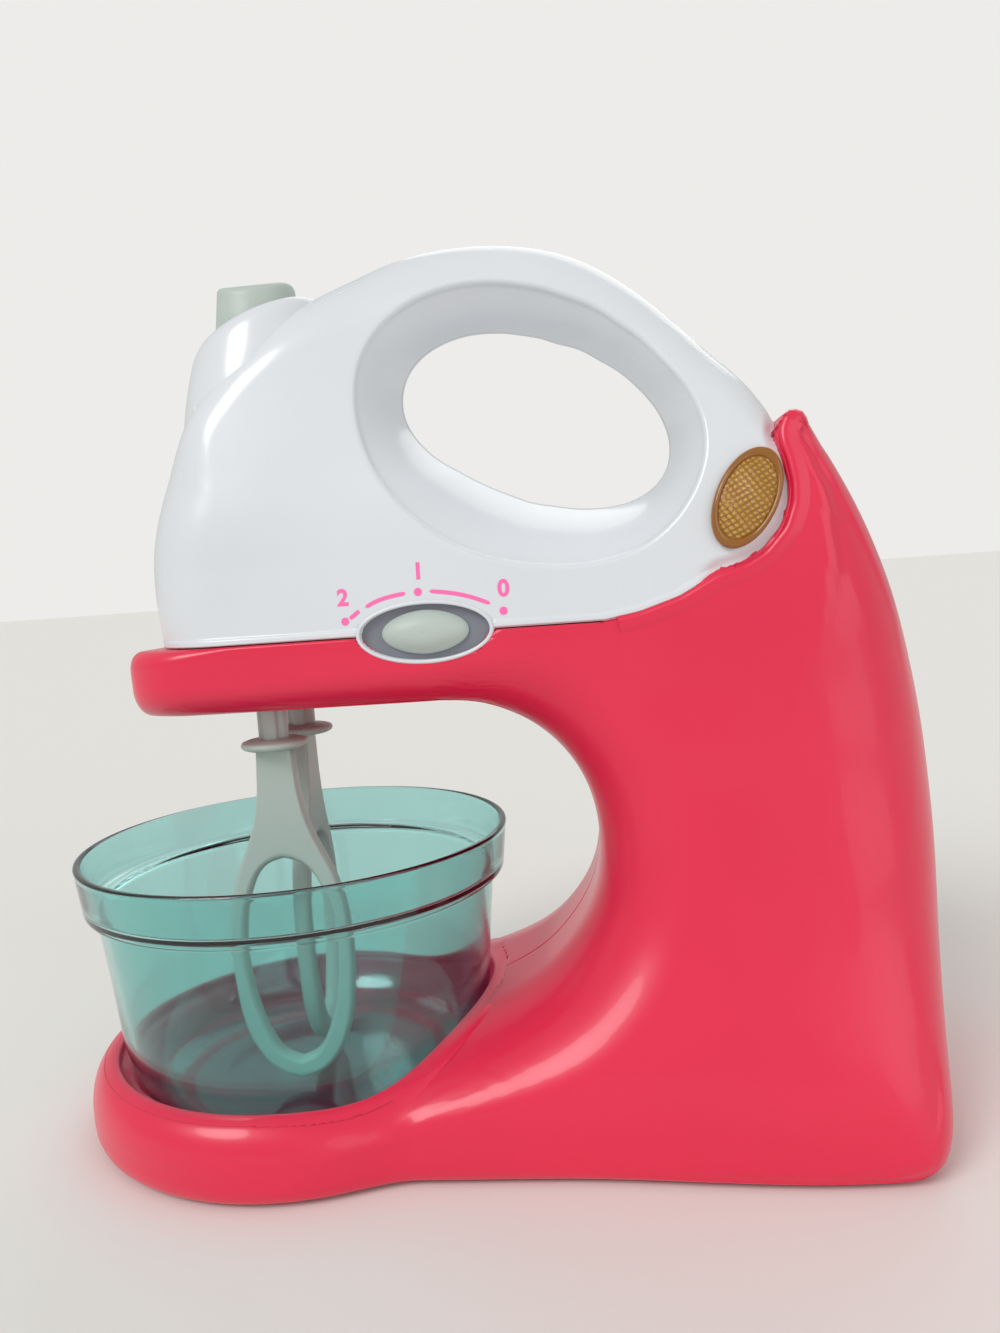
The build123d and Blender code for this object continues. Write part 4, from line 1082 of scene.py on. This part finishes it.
class MIXER_OT_marks(bpy.types.Operator):
    """Printed marks beside the switch: three stops, the lines between them and plain numbers"""

    bl_idname = "mixer.marks"
    bl_label = "Printed marks"

    def execute(self, context):
        ink = material("ink")
        patches = []
        for x, z in ((27.4, 135.3), (45.9, 141.3), (66.6, 135.3)):
            px, pz = oval_grid((x, z), 1.0, 1.0, 0, np.linspace(0.02, 1, 5), 32)
            patches.append((on_side(px, pz, PRINT), False, True, None))
        for stroke in (
            [(28.6, 135.9), (29.7, 136.7), (31.1, 137.7)],
            [(32.6, 138.4), (35.4, 139.7), (38.8, 140.6), (42.9, 141.2)],
            [(48.6, 141.3), (53.5, 140.6), (58.8, 139.2), (63.6, 137.2)],
        ):
            path = spline(stroke, 24)
            ends = np.sqrt(np.maximum(1 - (np.abs(np.linspace(-1, 1, 24)) ** 16), 0.0))
            half = -0.5 * ends[:, None] * right_of(path)
            strip = np.stack([path - half, path, path + half], 1)
            patches.append((on_side(strip[..., 0], strip[..., 1], PRINT), False, False, None))
        settle(place("printed_marks", patches, ink), "stand", "head_plastic")
        for digit, x, z in ((2, 27.1, 141.0), (1, 46.2, 146.2), (0, 66.9, 140.6)):
            curve = bpy.data.curves.new(f"number_{digit}", "FONT")
            curve.body = str(digit)
            curve.size = 5.6
            curve.align_x = "CENTER"
            curve.align_y = "CENTER"
            curve.offset = 0.2
            holder = bpy.data.objects.new(f"outline_{digit}", curve)
            context.scene.collection.objects.link(holder)
            mesh = bpy.data.meshes.new_from_object(holder)
            bpy.data.objects.remove(holder)
            bpy.data.curves.remove(curve)
            at = np.empty(len(mesh.vertices) * 3)
            mesh.vertices.foreach_get("co", at)
            at = at.reshape(-1, 3)
            placed = on_side(x + at[:, 0], z + at[:, 1], PRINT)
            mesh.vertices.foreach_set("co", (placed * MM).ravel())
            mesh.materials.clear()
            mesh.materials.append(ink)
            mesh.update()
            number = bpy.data.objects.new(f"printed_number_{digit}", mesh)
            context.scene.collection.objects.link(number)
            settle(number, "stand", "head_plastic")
        return {"FINISHED"}


class MIXER_OT_beaters(bpy.types.Operator):
    """Beaters: a flat loop between two outlines with fully rounded edges, a disc and a fluted
    shaft; the far one is turned a quarter"""

    bl_idname = "mixer.beaters"
    bl_label = "Beaters"

    def execute(self, context):
        for name, body, shift, quarter in (
            ("beater_loop_near", "beater_near", -SPINDLE_Y, False),
            ("beater_loop_far", "beater_far", SPINDLE_Y, True),
        ):
            patches = []
            for grid, *rest in blade_patches() + shaft_patches():
                x, y, z = grid[..., 0], grid[..., 1], grid[..., 2]
                if quarter:
                    x, y = -y, x
                patches.append((np.stack([x, y + shift, z], -1), *rest))
            build(name, patches, body, "grey_plastic", body)
        return {"FINISHED"}


class MIXER_OT_bowl(bpy.types.Operator):
    """Bowl: outer and inner walls 2 mm apart, a ledge under a straight collar and a rounded rim"""

    bl_idname = "mixer.bowl"
    bl_label = "Bowl"

    def execute(self, context):
        outside = [(28.2, 4.3), (30.2, 4.45), (36, 5.3), (41, 6.9), (45.6, 10.4), (47.9, 14), (50.2, 20)]
        outside += [(52.6, 37), (55.2, 60.2)]
        inside = [(53.3, 62.2), (50.6, 37), (48.2, 21), (46.0, 15.2), (43.8, 11.8), (39.8, 8.6)]
        inside += [(35.2, 7.2), (29, 6.5), (24, 6.3)]
        ledge = [(55.2, 60.2), (55.5, 61.3), (56.3, 61.9), (57.4, 62.1), (58.1, 62.6), (58.4, 63.4)]
        rim = [(59.7, 74.2), (59.75, 75.2), (59.2, 75.65), (58.6, 75.65), (58.0, 75.3), (57.8, 74.4)]
        ledge_inside = [(56.5, 65.6), (56.3, 64.6), (55.6, 64.1), (54.6, 63.9), (53.7, 63.4), (53.3, 62.2)]
        profile = joined(
            line((0, 4.3), (28.2, 4.3), 16),
            spline(outside, 90),
            spline(ledge, 16),
            line((58.4, 63.4), (59.7, 74.2), 16),
            spline(rim, 14),
            line((57.8, 74.4), (56.5, 65.6), 14),
            spline(ledge_inside, 14),
            spline(inside, 90),
            line((24, 6.3), (0, 6.3), 14),
        )
        grid = revolve(profile, (0, 0), 192)
        build("clear_bowl", [(grid, True, False, None)], "bowl", "clear_teal", "bowl")
        return {"FINISHED"}


class MIXER_OT_stage(bpy.types.Operator):
    """Pale floor and backdrop, soft lamps and the camera"""

    bl_idname = "mixer.stage"
    bl_label = "Studio"

    def execute(self, context):
        scene = context.scene
        mesh = bpy.data.meshes.new("floor")
        half = 30.0
        corners = [(-half, -half, 0), (half, -half, 0), (half, half, 0), (-half, half, 0)]
        mesh.from_pydata(corners, [], [(0, 1, 2, 3)])
        floor = bpy.data.objects.new("floor", mesh)
        scene.collection.objects.link(floor)
        paper = bpy.data.materials.new("matt_paper")
        paper.use_nodes = True
        shader = paper.node_tree.nodes["Principled BSDF"]
        shader.inputs["Base Color"].default_value = linear("#E9E8E5")
        shader.inputs["Roughness"].default_value = 0.9
        mesh.materials.append(paper)
        # The world lights a little warmer and dimmer than the camera sees it
        world = bpy.data.worlds.new("studio")
        scene.world = world
        world.use_nodes = True
        tree = world.node_tree
        tree.nodes.clear()
        path = add(tree, "LightPath", (-600, 0)).outputs
        rays = {0: path["Is Camera Ray"], 1: path["Is Transmission Ray"]}
        seen = add(tree, "Math", (-400, 60), links=rays, operation="MAXIMUM").outputs["Value"]
        plain = add(tree, "Background", (-200, 100), {"Color": linear("#F2F1EE"), "Strength": 0.62})
        pale = add(tree, "Background", (-200, -60), {"Color": linear("#EDECEA"), "Strength": 1.0})
        both = {"Fac": seen, 1: plain.outputs["Background"], 2: pale.outputs["Background"]}
        mix = add(tree, "MixShader", (0, 0), links=both)
        add(tree, "OutputWorld", (200, 0), links={"Surface": mix.outputs["Shader"]})
        for name, at, spread, strength in (
            ("key", (-0.55, -0.75, 0.95), 28, 1.25),
            ("fill", (0.9, -0.9, 0.45), 50, 0.55),
            ("back", (0.2, 0.9, 0.9), 40, 0.35),
        ):
            lamp = bpy.data.lights.new(name, "SUN")
            lamp.angle = math.radians(spread)
            lamp.energy = strength
            stand = bpy.data.objects.new(name, lamp)
            stand.location = at
            aim = Vector((0.05, 0, 0.11)) - Vector(at)
            stand.rotation_euler = aim.to_track_quat("-Z", "Y").to_euler()
            scene.collection.objects.link(stand)
        scene.view_settings.view_transform = "Standard"
        camera_data = bpy.data.cameras.new("camera")
        camera = bpy.data.objects.new("camera", camera_data)
        scene.collection.objects.link(camera)
        # The photograph's view: 1000 px focal length on a 1333 px tall image
        camera_data.lens = 36.0 * 1000 / 1333
        camera_data.sensor_width = 36.0
        camera_data.sensor_fit = "AUTO"
        camera_data.clip_start = 0.01
        around, above, lean = math.radians(5.63), math.radians(4.83), math.radians(-4.12)
        level = math.cos(above)
        back = Vector((math.sin(around) * level, -math.cos(around) * level, math.sin(above)))
        right = Vector((math.cos(around), math.sin(around), 0))
        up = back.cross(right)
        across = math.cos(lean) * right + math.sin(lean) * up
        upward = -math.sin(lean) * right + math.cos(lean) * up
        spot = (292.91 * back + 52.56 * across + 122.18 * upward) * MM
        turned = Matrix((across, upward, back)).transposed()
        camera.matrix_world = Matrix.Translation(spot) @ turned.to_4x4()
        scene.camera = camera
        return {"FINISHED"}


class MIXER_PT_panel(bpy.types.Panel):
    """The mixer's pieces in the sidebar"""

    bl_label = "Toy stand mixer"
    bl_idname = "MIXER_PT_panel"
    bl_space_type = "VIEW_3D"
    bl_region_type = "UI"
    bl_category = "Mixer"

    def draw(self, context):
        for operator in OPERATORS:
            self.layout.operator(operator.bl_idname)
        for name in MixerSizes.__annotations__:
            self.layout.prop(context.scene.mixer_sizes, name)
        for name in MixerColours.__annotations__:
            self.layout.prop(context.scene.mixer_colours, name)


OPERATORS = (
    MIXER_OT_hidden, MIXER_OT_stand, MIXER_OT_head, MIXER_OT_button, MIXER_OT_switch,
    MIXER_OT_lamps, MIXER_OT_marks, MIXER_OT_beaters, MIXER_OT_bowl, MIXER_OT_stage,
)
CLASSES = (MixerSizes, MixerColours, *OPERATORS, MIXER_PT_panel)


def register():
    for kind in CLASSES:
        bpy.utils.register_class(kind)
    bpy.types.Scene.mixer_sizes = PointerProperty(type=MixerSizes)
    bpy.types.Scene.mixer_colours = PointerProperty(type=MixerColours)


def unregister():
    del bpy.types.Scene.mixer_colours
    del bpy.types.Scene.mixer_sizes
    for kind in reversed(CLASSES):
        bpy.utils.unregister_class(kind)


def main():
    """Builds every piece in order."""
    register()
    bpy.ops.mixer.hidden()
    bpy.ops.mixer.stand()
    bpy.ops.mixer.head()
    bpy.ops.mixer.button()
    bpy.ops.mixer.switch()
    bpy.ops.mixer.lamps()
    bpy.ops.mixer.marks()
    bpy.ops.mixer.beaters()
    bpy.ops.mixer.bowl()
    bpy.ops.mixer.stage()


if __name__ == "__main__":
    main()
